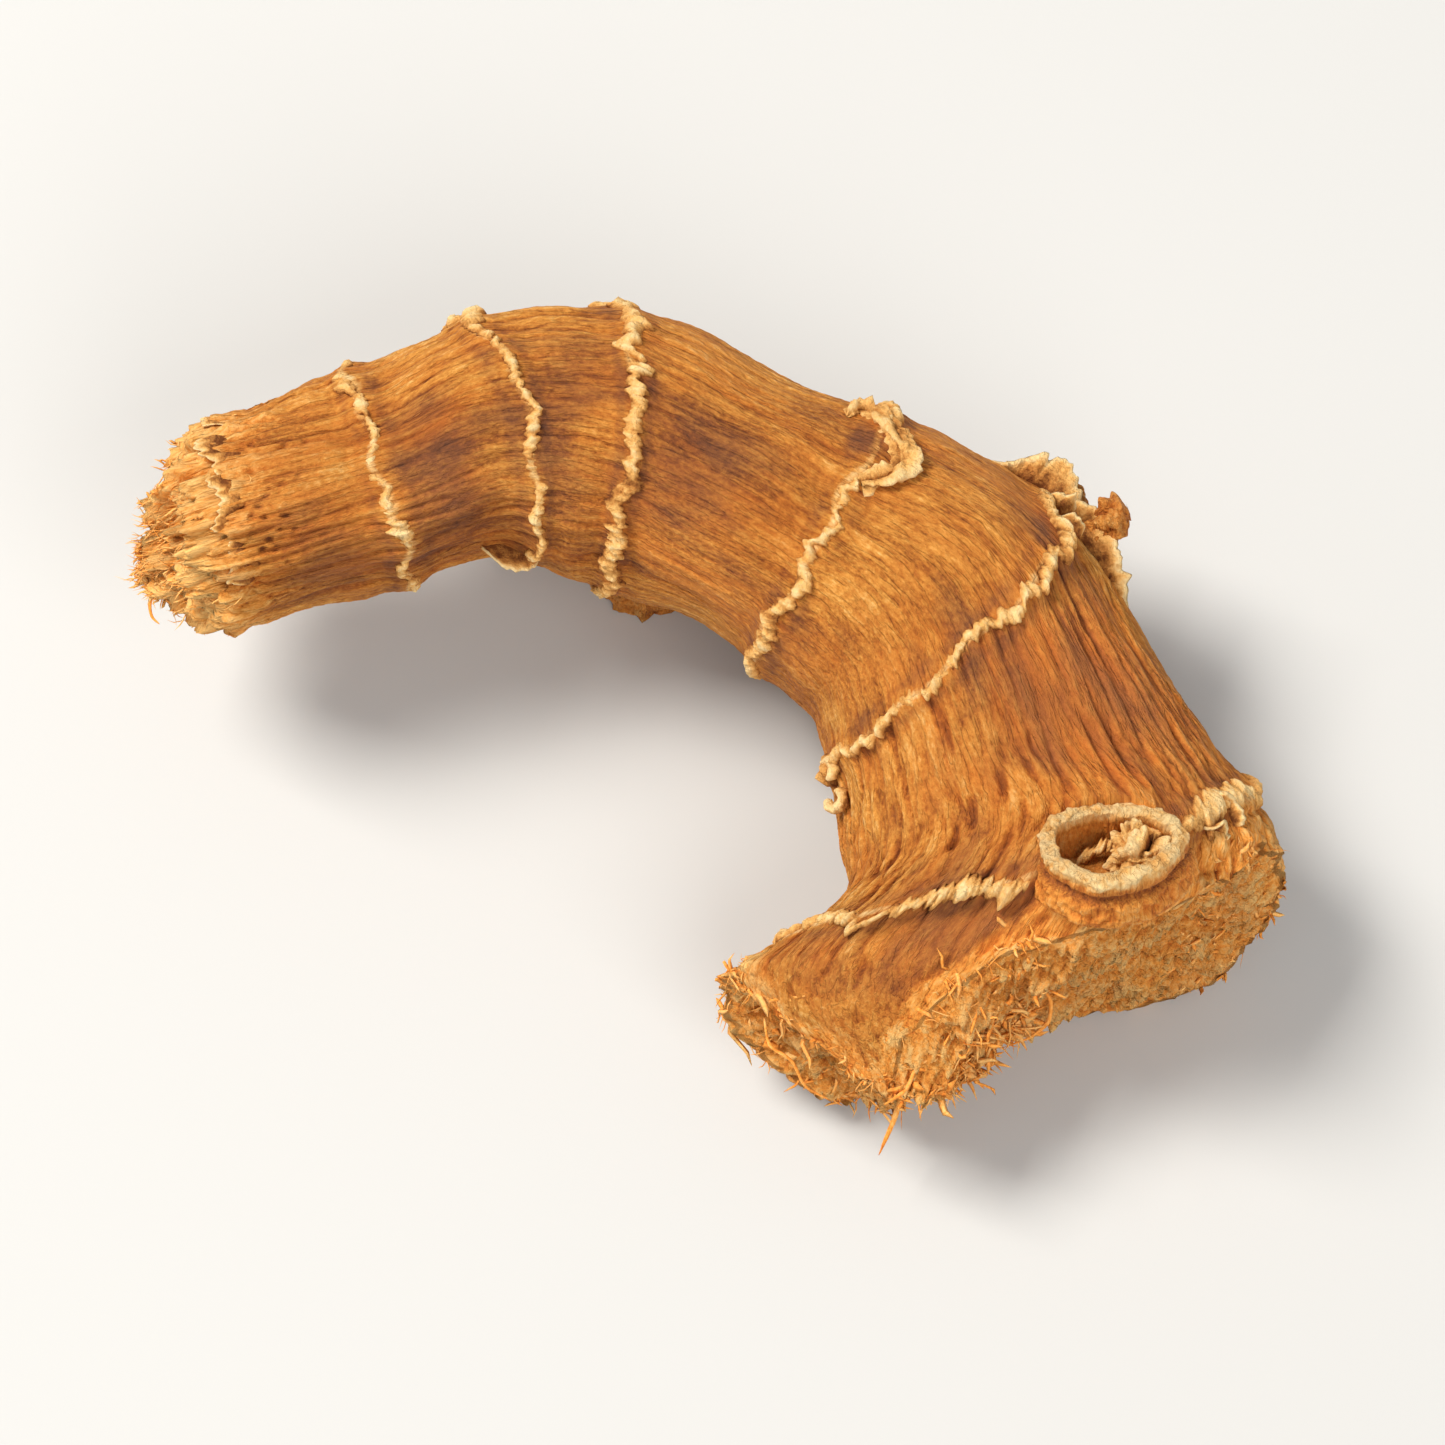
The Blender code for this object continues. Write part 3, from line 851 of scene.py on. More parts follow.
@dataclass
class Bark:
    """The stem's wrinkled skin and its torn ends, in lengths that meet under leaf scars."""

    lengths: tuple[Length, ...] = (
        Length("bark_slender_length", 0.0, 19.9, 370, 178, 44),
        Length("bark_middle_length", 19.9, 38.2, 410, 190),
        Length("bark_flared_length", 38.2, 55.7, 480, 124, 46),
    )
    slender_end: TornEnd = TornEnd(
        facing=(-0.954, -0.301, 0.0), bulge=3.0,
        lobe=(-24.0, 9.5, 10.5, 0.6, 3.0), swell=(-24.0, 9.5, 10.5, 0.0, 3.0),
        clumps=0.25, crumbs=0.16, steps=0.55, teeth=0.36, skin_share=0.5, seed=71,
    )
    flared_end: TornEnd = TornEnd(
        facing=(-0.03, -0.98, 0.12), bulge=0.9,
        lobe=(10.4, -13.7, 4.4, 3.9, 3.6), swell=(17.2, -9.8, 11.3, 1.4, 3.4),
        clumps=0.66, crumbs=0.74, steps=0.0, teeth=0.05, skin_share=0.0, seed=61,
    )
    warp: float = 0.13
    warp_cell: Triple = (2.4, 2.4, 6.0)
    furrow_cell: Triple = (0.66, 0.66, 12.0)
    cut_cell: Triple = (0.42, 0.42, 5.5)
    striae_cell: Triple = (0.33, 0.33, 6.0)
    fold_cell: Triple = (1.7, 1.7, 10.0)
    fine_cell: Triple = (0.2, 0.2, 1.5)

    def wrinkles(self, nominal: np.ndarray, grain: np.ndarray) -> tuple[np.ndarray, ...]:
        """Lengthwise folds and furrows.

        Args:
            nominal: Rows of the skin.
            grain: Coordinates that run with the fibres.

        Returns:
            Heights, and how high on a fold each point is from 0 to 1; the colour reads it as paler worn crests
            and painted shade in the furrows and cuts.
        """
        bent = grain.copy()
        bent[:, :2] += self.warp * np.stack([noise(grain / self.warp_cell, seed) for seed in (41, 42)], axis=-1)
        flared = ease(nominal, 36.5, 39.5) * (1 - 0.6 * ease(nominal, 50.0, 53.0))
        plain = 0.4 * ease(nominal, 18.5, 21.5) + 0.6 * ease(nominal, 29.0, 31.0)
        plain = plain * (1 - ease(nominal, 37.0, 39.0))
        furrow = np.minimum(np.abs(noise(bent / self.furrow_cell, 43)), 0.3) / 0.3
        cut = np.clip(-noise(bent / self.cut_cell, 48) - 0.25, 0, 0.6) / 0.6
        striae = np.minimum(np.abs(noise(bent / self.striae_cell, 44)), 0.26) / 0.26
        folds = noise(bent / self.fold_cell, 45)
        fine = noise(bent / self.fine_cell, 46)
        crumbs = noise(grain / 0.3, 47)
        coarse = 1 - ease(nominal, 16.0, 20.0)
        depth = 0.09 + 0.11 * flared + 0.05 * coarse - 0.06 * plain
        cut_depth = 0.11 + 0.27 * flared - 0.09 * plain
        height = (0.15 + 0.04 * coarse - 0.05 * plain) * folds + depth * (furrow - 0.6) - cut_depth * cut
        height = height + (0.045 + 0.06 * flared) * (striae - 0.5) + 0.022 * fine + 0.035 * crumbs
        # Fold for colour: crests paler as worn bark, furrows and deep cuts darker as painted shade.
        fold = 0.352 + (0.2 + 0.14 * flared + 0.1 * coarse) * furrow + (0.16 + 0.06 * flared) * striae
        fold = fold + 0.12 * (fine + folds) - (0.3 + 0.6 * flared - 0.2 * plain) * cut
        return height, np.clip(fold, 0, 1)

    def ring_swell(self, nominal: np.ndarray) -> np.ndarray:
        """How much the skin rises under each leaf scar and sinks beside it.

        Args:
            nominal: Rows of the skin.

        Returns:
            Heights.
        """
        height = np.zeros_like(nominal)
        for ring in RINGS:
            away = (nominal - ring.place) / 0.7
            height = height + 0.14 * hump(away, 1.0) - 0.09 * hump(np.abs(away) - 1.9, 1.0)
        return height

    def skin(self, nominal: np.ndarray, angle: np.ndarray) -> tuple[np.ndarray, dict[str, np.ndarray]]:
        """Points of the wrinkled skin with their marks.

        Args:
            nominal: Rows of the skin.
            angle: Angles round the stem.

        Returns:
            The points, and the marks by name.
        """
        place = STEM.place_of(nominal, angle)
        grain = STEM.grain(place, angle)
        height, fold = self.wrinkles(nominal, grain)
        start, stop = STEM.edge(STEM.slender_edge, angle), STEM.edge(STEM.flared_edge, angle)
        ragged = grit(grain, (0.9, (0.7, 0.7, 2.6), 51), (0.6, 1.4, 52))
        fading = 0.5 * (1 - ease(place - start + ragged, 0.2, 3.4))
        torn = np.maximum(fading, 1 - ease(stop - place + ragged, 0.4, 3.2))
        matted = ridges(grain / (0.3, 0.3, 1.5), 53)
        rough = 0.28 * matted + grit(grain, (0.13, (0.6, 0.6, 1.0), 54), (0.07, 0.2, 49))
        terrace = np.clip(noise(grain / (1.1, 1.1, 1.4), 50) * 3.0, -1, 1)
        loose = torn - 0.7 * fading
        chunks = ridges(grain / (0.9, 0.9, 1.2), 63)
        splinters = fading * ridges(grain / (0.5, 0.5, 3.2), 60)
        height = height * (1 - 0.4 * loose) + loose * (rough + 0.17 * terrace + 0.45 * chunks)
        height = height + self.ring_swell(nominal) + 1.1 * splinters
        fold = np.clip(fold + loose * (0.7 * matted + 0.16 * terrace + 0.5 * chunks) + 0.9 * splinters, 0, 1)
        pitted = ease(place - start, 0.2, 1.0) * (1 - ease(place - start, 3.0, 4.6))
        pitted = pitted * (1 - ease(nominal, 6.0, 8.0))
        pitted = pitted * (0.3 + 0.7 * hump(turn_from(angle, -35), math.radians(50)))
        # The pits are dents that are also painted darker in tone below, as shade in them.
        pits = np.maximum(noise(grain / (0.34, 0.34, 0.45), 55) - 0.24, 0) * pitted
        height = height - 0.6 * pits
        points = STEM.surface(nominal, angle, height)
        tone = grit(grain, (0.4, (2.6, 2.6, 5.0), 56), (0.26, (1.0, 1.0, 2.4), 57))
        rust = 0.3 + 0.5 * noise(grain / (2.0, 2.0, 6.0), 58)
        for patch in PATCHES:
            turn = turn_from(angle, patch.degrees)
            near = hump(place - patch.place, patch.reach) * hump(turn, math.radians(patch.spread))
            tone, rust = tone + patch.tone * near, rust + patch.rust * near
        # Painted shade darkens the pits; the slender end's torn edge is paler.
        tone = tone - 1.5 * pits + 0.65 * fading
        cork = np.zeros_like(nominal)
        smear = np.maximum(0.6 + 0.4 * noise(grain / 0.5, 59), 0.1)
        for ring in RINGS:
            away = np.abs(nominal - ring.place)
            cork = np.maximum(cork, 0.8 * hump(away / smear, 0.34))
            # Painted shadow: the bark is darkened in a narrow band beside each scar, as shade from its frill.
            tone = tone - 0.35 * hump(away - 0.75, 0.3) * (1 - torn)
        marks = {"fold": fold, "torn": torn, "cork": cork, "tone": tone, "rust": rust, "grain": grain}
        return CUP.sunk(points), marks

    def piece(self, length: Length) -> Piece:
        """One length of the bark, closed by its torn end and by walls where it meets the next.

        Args:
            length: Which length.

        Returns:
            The piece.
        """
        count, rows = length.columns, length.rows
        nominal = np.repeat(np.linspace(length.low, length.high, rows), count)
        angle = np.tile(around(count), rows)
        body, marks = self.skin(nominal, angle)
        if length.cap_rows and length.low > 0:
            cap, extra = self.flared_end.rows(body[-count:], length.cap_rows)
            body = np.vstack([body, cap])
            marks = {key: np.concatenate([value, extra[key]]) for key, value in marks.items()}
        elif length.cap_rows:
            start = STEM.edge(STEM.slender_edge, angle[:count])

            def past(reach: np.ndarray) -> np.ndarray:
                """Fibre coordinates at distances past the torn edge."""
                return STEM.grain(start - reach, angle[:count])

            cap, extra = self.slender_end.rows(body[:count], length.cap_rows, past)
            order = np.arange(len(cap)).reshape(length.cap_rows, count)[::-1].ravel()
            body = np.vstack([cap[order], body])
            marks = {key: np.concatenate([extra[key][order], value]) for key, value in marks.items()}
        ring = body.reshape(-1, count, 3)
        body, faces = swept(ring.mean(axis=1), ring)
        marks = {key: np.concatenate([value, value[[0, -1]]]) for key, value in marks.items()}
        return Piece(length.name, body, turned_out(body, faces), Tissue.BARK, marks)


BARK = Bark()


@dataclass
class LeafScars:
    """The frilled corky edges that leaf sheaths left round the stem."""

    steps: int = 900
    across: int = 12

    def frill(self, ring: Ring, seed: int) -> tuple[np.ndarray, np.ndarray]:
        """Points of one scar.

        Args:
            ring: Where it runs and how large it is.
            seed: Which pattern of frills.

        Returns:
            The points, and how near each is to the frill's crest from 0 to 1, low on the underside as painted
            shade.
        """
        angle = around(self.steps)
        nominal = np.full(self.steps, ring.place)
        plain = STEM.surface(nominal, angle)
        shift = ring.sway * grit(plain, (1.0, 1.6, seed), (0.5, 0.7, seed + 1), (0.4, 0.4, seed + 10))
        wide, high = np.full(self.steps, ring.width), np.full(self.steps, ring.height)
        for degrees, spread, move, wider, higher in ring.kinks:
            near = hump(turn_from(angle, degrees), math.radians(spread))
            shift, wide, high = shift + move * near, wide + wider * near, high + higher * near
        nominal = nominal + shift
        base = STEM.surface(nominal, angle, 0.06)
        along = unit(STEM.surface(nominal + 0.3, angle) - STEM.surface(nominal - 0.3, angle))
        round_way = unit(np.roll(plain, -6, axis=0) - np.roll(plain, 6, axis=0))
        out = unit(np.cross(along, round_way))
        out *= np.sign(together(out, base - STEM.at(nominal)[:, :3]))
        bead = noise(plain / 0.38, seed + 2)
        teeth = noise(plain / 0.2, seed + 9)
        beaded = ring.beads * bead
        high = high * np.clip(0.7 + 0.5 * beaded + 0.4 * noise(plain / 1.1, seed + 3) + 0.3 * teeth, 0.22, 1.7)
        front = 1.05 + 0.75 * noise(plain / 0.55, seed + 4) + 0.4 * beaded + 0.5 * teeth
        rear = 1.05 + 0.75 * noise(plain / 0.6, seed + 5) + 0.4 * beaded - 0.5 * teeth
        front, rear = wide * np.clip(front, 0.3, 2.4), wide * np.clip(rear, 0.3, 2.4)
        tilt = 0.5 * noise(plain / 1.4, seed + 6)
        share, _ = CUP.local(base)
        hidden = 1.8 * (1 - ease(share, 1.02, 1.16))
        points, crest = [], []
        for k in range(self.across):
            turn = 2 * math.pi * k / self.across
            flat, lift = math.cos(turn), math.sin(turn)
            shoulder = abs(flat) ** 1.2 * math.copysign(1, flat)
            reach = np.where(flat > 0, front, rear) * shoulder
            rise = max(lift, -0.45) * (1.0 if lift > 0 else 0.8)
            up = high * rise + 0.35 * high * tilt * shoulder - hidden
            points.append(base + reach[:, None] * along + up[:, None] * out)
            # Pale on the frill's top, darker on its underside as painted shade beneath the frill.
            shown = np.clip(0.25 + 0.75 * max(lift, 0.0) + 0.25 * tilt * shoulder, 0, 1)
            crest.append(shown * (0.72 + 0.35 * bead))
        points = np.stack(points, axis=1)
        flat = points.reshape(-1, 3)
        rough = grit(flat, (0.09, 0.36, seed + 7), (0.075, 0.17, seed + 8))
        outward = unit(points - base[:, None, :]).reshape(-1, 3)
        return flat + rough[:, None] * outward, np.stack(crest, axis=1).ravel() + 2.0 * rough

    def piece(self) -> Piece:
        """All the scars.

        Returns:
            One piece.
        """
        points, faces, crest, start = [], [], [], 0
        for n, ring in enumerate(RINGS):
            frill, high = self.frill(ring, 100 + 10 * n)
            squares = grid_faces(self.steps + 1, self.across) % (self.steps * self.across)
            faces.append(squares[:, ::-1] + start)
            points.append(frill)
            crest.append(high)
            start += len(frill)
        body = np.vstack(points)
        marks = {
            "fold": np.clip(np.concatenate(crest), 0, 1),
            "tone": grit(body, (0.75, 0.9, 98), (0.35, 3.0, 95)) - 0.05,
            "rust": 0.3 * noise(body / 2.4, 99),
            "grain": body,
        }
        return Piece("leaf_scars", body, faces, Tissue.CORK, marks)


def even_path(knots: np.ndarray, rows: int, rounds: int) -> np.ndarray:
    """Points on a line through knots, with its corners rounded.

    Args:
        knots: The line's own points.
        rows: How many points to give.
        rounds: How often the corners are rounded.

    Returns:
        The points.
    """
    s, t = np.linspace(0, 1, rows), np.linspace(0, 1, len(knots))
    path = np.stack([np.interp(s, t, knots[:, k]) for k in range(knots.shape[1])], axis=-1)
    for _ in range(rounds):
        path[1:-1] = (path[:-2] + 2 * path[1:-1] + path[2:]) / 4
    return path


@dataclass(frozen=True)
class Curl:
    """A strip of dry scale rolled up where a bud was: a lumpy arc round a small hollow."""

    centre: Triple
    out: Triple
    radius: float
    thick: float
    start: float
    sweep: float
    rise: float
    seed: int
    tall: float = 1.35
    rows: int = 80
    columns: int = 20

    def mesh(self, start: int) -> tuple[np.ndarray, list[np.ndarray], np.ndarray]:
        """The curl's mesh.

        Args:
            start: Number of its first point.

        Returns:
            Points, faces and how near each point is to its crest, darker underneath as painted shade.
        """
        out = unit(np.array(self.out))
        first = unit(np.cross(out, (0.3, 1.0, 0.1)))
        second = np.cross(out, first)
        t = np.linspace(0, 1, self.rows)
        turn = math.radians(self.start) + math.radians(self.sweep) * t
        radius = self.radius * (1 - 0.35 * t**2)
        path = np.array(self.centre) + radius[:, None] * (
            np.cos(turn)[:, None] * first + np.sin(turn)[:, None] * second
        )
        path = path + (self.rise * np.sin(math.pi * t) * 0.5)[:, None] * out
        taper = self.thick * np.sin(math.pi * np.clip(t * 0.96 + 0.02, 0, 1)) ** 0.35
        phi = around(self.columns)
        ring = hoops(path, out, self.tall, phi)
        points = (path[:, None, :] + taper[:, None, None] * ring).reshape(-1, 3)
        lean = self.thick / 0.3
        rough = lean * grit(points, (0.16, 0.55, self.seed), (0.08, 0.22, self.seed + 1))
        points = points + rough[:, None] * unit(ring.reshape(-1, 3))
        # Paler on the side away from the skin and darker underneath, as painted shade.
        crest = np.tile(0.45 + 0.5 * np.sin(phi), self.rows) + 1.2 * rough
        body, faces = swept(path, points.reshape(self.rows, self.columns, 3), start)
        return body, faces, np.append(crest, (0.3, 0.3))


@dataclass(frozen=True)
class Stub:
    """A stump, bud, rootlet or thread: a rough tapered body on a bent line."""

    line: tuple[Triple, ...]
    radii: tuple[float, ...]
    seed: int
    flat: float = 1.0
    roughness: float = 0.14
    grain_size: float = 0.6
    run: float = 0.2
    rows: int = 46
    columns: int = 64

    def mesh(self, start: int) -> tuple[np.ndarray, list[np.ndarray], np.ndarray]:
        """The stub's mesh.

        Args:
            start: Number of its first point.

        Returns:
            Points, faces and how high each point is on its roughness.
        """
        knots = np.array(self.line)
        path = even_path(knots, self.rows, 6)
        s = np.linspace(0, 1, self.rows)
        radius = np.interp(s, np.linspace(0, 1, len(self.radii)), self.radii)
        radius = radius * np.sqrt(np.clip((1.004 - s) / 0.05, 0, 1))
        phi = around(self.columns)
        ring = hoops(path, UP + np.array((1e-3, 0, 0)), self.flat, phi)
        points = (path[:, None, :] + radius[:, None, None] * ring).reshape(-1, 3)
        reach = max(self.radii)
        length = np.linalg.norm(knots[-1] - knots[0]) / reach
        wave = [np.tile(np.cos(phi), self.rows), np.tile(np.sin(phi), self.rows)]
        lines = np.stack([*wave, np.repeat(s * length, self.columns) * self.run], axis=-1)
        rough = self.roughness * noise(lines * reach / self.grain_size, self.seed)
        rough = rough + 0.5 * self.roughness * noise(points / 0.3, self.seed + 1)
        points = points + rough[:, None] * unit(ring.reshape(-1, 3))
        body, faces = swept(path, points.reshape(self.rows, self.columns, 3), start)
        return body, faces, np.append(0.5 + rough / max(self.roughness, 0.01) * 0.5, (0.5, 0.5))


@dataclass(frozen=True)
class Flake:
    """A thin scrap of leaf scale that grows out of the bark and ends in a ragged free edge.

    Its root is given as rows and degrees on the skin, its free edge as points.
    """

    root: tuple[tuple[float, float], ...]
    edge: tuple[Triple, ...]
    thick: float
    ragged: float
    bow: float
    seed: int
    rows: int = 110
    steps: int = 12

    def mesh(self, start: int) -> tuple[np.ndarray, list[np.ndarray], np.ndarray]:
        """The flake's mesh.

        Args:
            start: Number of its first point.

        Returns:
            Points, faces and how near each point is to the free edge, as paleness: darker at the root, partly
            the scale's own brown and partly painted shade.
        """
        rows, steps = self.rows, self.steps
        root = even_path(np.array(self.root), rows, 12)
        low = STEM.surface(root[:, 0], np.radians(root[:, 1]), -0.3)
        high = even_path(np.array(self.edge), rows, 6)
        s = np.linspace(0, 1, rows)
        tooth = grit(high, (1.0, 0.75, self.seed), (0.9, 0.28, self.seed + 1))
        high = high + (self.ragged * tooth)[:, None] * unit(high - low)
        ends = np.sin(math.pi * (0.03 + 0.94 * s)) ** 0.3
        high = low + (high - low) * ends[:, None]
        along = unit(np.gradient(high, axis=0))
        face = unit(np.cross(along, unit(high - low)))
        climb = np.concatenate([np.linspace(0, 1, steps), np.linspace(1, 0, steps)])
        side = np.concatenate([np.ones(steps), -np.ones(steps)])
        blend = climb[None, :, None]
        points = low[:, None, :] * (1 - blend) + high[:, None, :] * blend
        bowed = self.bow * np.sin(math.pi * climb) * np.ones((rows, 1))
        points = points + bowed[..., None] * face[:, None, :]
        thick = self.thick * (1 - 0.6 * climb) * side
        points = (points + thick[None, :, None] * face[:, None, :]).reshape(-1, 3)
        lift = np.tile(climb, rows)
        bend = lift * grit(points, (0.3, 1.3, self.seed + 2), (0.05, 0.35, self.seed + 3))
        points = points + bend[:, None] * np.repeat(face, 2 * steps, axis=0)
        ring = points.reshape(rows, 2 * steps, 3)
        body, faces = swept(ring.mean(axis=1), ring, start)
        # Dark towards the root, partly the scale's own brown and partly painted shade where it meets the bark;
        # pale at the free edge.
        shade = 0.1 + 0.9 * lift**5 + 0.25 * noise(points / 0.4, self.seed + 4)
        return body, faces, np.append(shade, (0.4, 0.4))


def gathered(name: str, parts: list[Curl | Stub | Flake], tissue: Tissue, marks: dict[str, float]) -> Piece:
    """Several small bodies of one tissue as one piece.

    Args:
        name: The piece's name.
        parts: The bodies.
        tissue: What they are made of.
        marks: Marks that are the same all over.

    Returns:
        The piece.
    """
    points, faces, fold, start = [], [], [], 0
    for part in parts:
        body, squares, high = part.mesh(start)
        points.append(body)
        faces.extend(turned_out(body, squares, start))
        fold.append(high)
        start += len(body)
    body = np.vstack(points)
    drawn = {"fold": np.clip(np.concatenate(fold), 0, 1), "grain": body}
    drawn.update({key: value + 0.2 * noise(body / 0.9, 97) for key, value in marks.items()})
    return Piece(name, body, faces, tissue, drawn)


@dataclass
class Outgrowths:
    """What grew out of the stem and broke off or dried on it.

    Each of the frays holds degrees round the slender end, half its spread in degrees, its reach and its seed.
    """

    frays: tuple[tuple[float, ...], ...] = (
        (-48.0, 14.0, 0.5, 501), (-12.0, 16.0, 0.6, 511), (22.0, 15.0, 0.8, 521),
        (52.0, 13.0, 0.9, 531), (80.0, 14.0, 1.0, 541), (108.0, 13.0, 0.8, 551),
    )

    def cork(self) -> Piece:
        """The curl on the fourth scar and the scraps of leaf scale.

        Returns:
            One piece.
        """
        parts = [
            Stub(((6.3, 10.3, 14.9), (7.8, 10.7, 14.75), (8.3, 11.7, 14.6), (7.95, 13.1, 14.25),
                  (7.1, 14.1, 13.8), (6.2, 14.5, 13.6), (5.7, 13.9, 14.0)),
                 (0.34, 0.42, 0.6, 0.46, 0.5, 0.38, 0.2), 211, 0.6, 0.5, 0.62, run=1.0),
            Flake(((34.6, 80), (36.5, 84), (38.2, 84), (39.0, 74)),
                  ((12.2, 12.7, 11.2), (13.0, 13.0, 11.2), (13.8, 13.35, 11.1), (14.6, 13.45, 11.0),
                   (15.7, 13.2, 10.9), (16.4, 12.6, 10.9), (16.8, 11.7, 11.0)), 0.14, 0.3, 0.35, 221),
            Flake(((38.5, 78), (39.6, 82), (41.0, 84), (42.4, 82)),
                  ((16.7, 11.9, 11.2), (17.3, 10.7, 11.1), (17.7, 9.6, 10.9), (18.2, 8.2, 10.6),
                   (18.5, 7.4, 10.3), (18.6, 6.5, 9.9)), 0.2, 0.22, 0.3, 231),
            Flake(((38.2, 52), (38.9, 58), (39.4, 64)),
                  ((15.3, 9.9, 12.7), (16.0, 9.7, 12.7), (16.6, 9.3, 12.3)), 0.16, 0.3, 0.1, 236),
            Flake(((37.9, 60), (38.4, 66), (38.9, 72)),
                  ((15.1, 11.2, 12.1), (15.9, 10.9, 12.2), (16.5, 10.6, 11.6)), 0.16, 0.3, 0.1, 246),
            Flake(((11.6, 272), (13.2, 266), (14.6, 262)),
                  ((-10.4, 8.4, 10.8), (-9.2, 7.9, 10.4), (-8.0, 8.0, 10.3)), 0.16, 0.12, 0.1, 241),
            Curl((5.3, -2.4, 8.7), (-0.7, -0.2, 0.7), 0.5, 0.24, 0, 290, 0.3, 251),
            Curl((4.9, -1.0, 8.9), (-0.7, -0.2, 0.7), 0.45, 0.24, 90, 250, 0.3, 261),
            Flake(((49.0, 36), (50.4, 42), (51.6, 45)),
                  ((21.6, -5.2, 12.3), (22.3, -4.6, 12.0), (22.8, -5.3, 11.4)), 0.22, 0.25, 0.1, 271),
            Flake(((48.4, 44), (49.2, 49), (51.0, 50)),
                  ((22.0, -3.0, 11.9), (22.8, -3.5, 11.4), (23.3, -4.7, 11.0)), 0.22, 0.25, 0.1, 281),
        ]
        return gathered("dry_scale_scraps", parts + self.fringe(), Tissue.CORK, {"tone": 0.0, "rust": 0.1})

    def fringe(self) -> list[Flake]:
        """The frayed edge of bark round the upper half of the slender end.

        Returns:
            Its flakes.
        """
        facing = unit(np.array(BARK.slender_end.facing))
        flakes = []
        for degrees, half, reach, seed in self.frays:
            spots = np.radians(np.array((degrees - half, degrees, degrees + half)))
            free = STEM.surface(np.zeros(3), spots, 0.12) + reach * facing
            root = tuple((1.1, float(degrees + side * half)) for side in (-1, 0, 1))
            edge = tuple(map(tuple, free.tolist()))
            flakes.append(Flake(root, edge, thick=0.1, ragged=0.42, bow=0.1, seed=seed))
        return flakes

    def bark(self) -> Piece:
        """The old shoot's stump below, the rootlet stubs and the orange crumb by the fifth scar.

        Returns:
            One piece.
        """
        parts = [
            Stub(((-2.6, 13.6, 7.0), (-2.9, 13.2, 3.4), (-3.2, 12.9, 1.2), (-3.3, 12.8, -0.4)),
                 (4.1, 3.45, 2.9, 2.75), 301, 1.0, 0.34, 0.75),
            Stub(((-11.6, 14.0, 6.4), (-12.0, 14.6, 4.4), (-12.5, 15.0, 3.0)), (0.9, 0.75, 0.6), 311),
            Stub(((5.0, 10.0, 5.0), (5.2, 10.6, 2.8), (5.5, 11.4, 1.6)), (1.0, 0.8, 0.6), 321),
            Stub(((16.0, 3.0, 5.0), (19.2, 3.6, 3.2), (20.4, 4.0, 2.2)), (1.0, 0.8, 0.6), 331),
            Stub(((16.9, 10.0, 10.2), (17.6, 10.3, 10.7), (18.1, 10.5, 11.0), (18.4, 10.6, 11.05)),
                 (0.9, 0.95, 0.9, 0.7, 0.3), 341, 0.85, 0.5, 0.7, run=1.0),
            Stub(((14.4, 10.8, 8.8), (15.1, 12.4, 8.8), (15.4, 13.2, 8.9)), (2.2, 1.8, 1.0), 351, 0.45, 0.2),
        ]
        return gathered("side_stubs", parts, Tissue.BARK, {"torn": 0.4, "cork": 0.0, "tone": 0.05, "rust": 0.7})


@dataclass(frozen=True)
class Tuft:
    """One kind of loose fibre: how many, how long, wide, thin and curled, and where it lies."""

    count: int
    reach: tuple[float, float]
    wide: tuple[float, float]
    thin: tuple[float, float]
    curl: float
    way: Triple
    stray: float
    lift: float


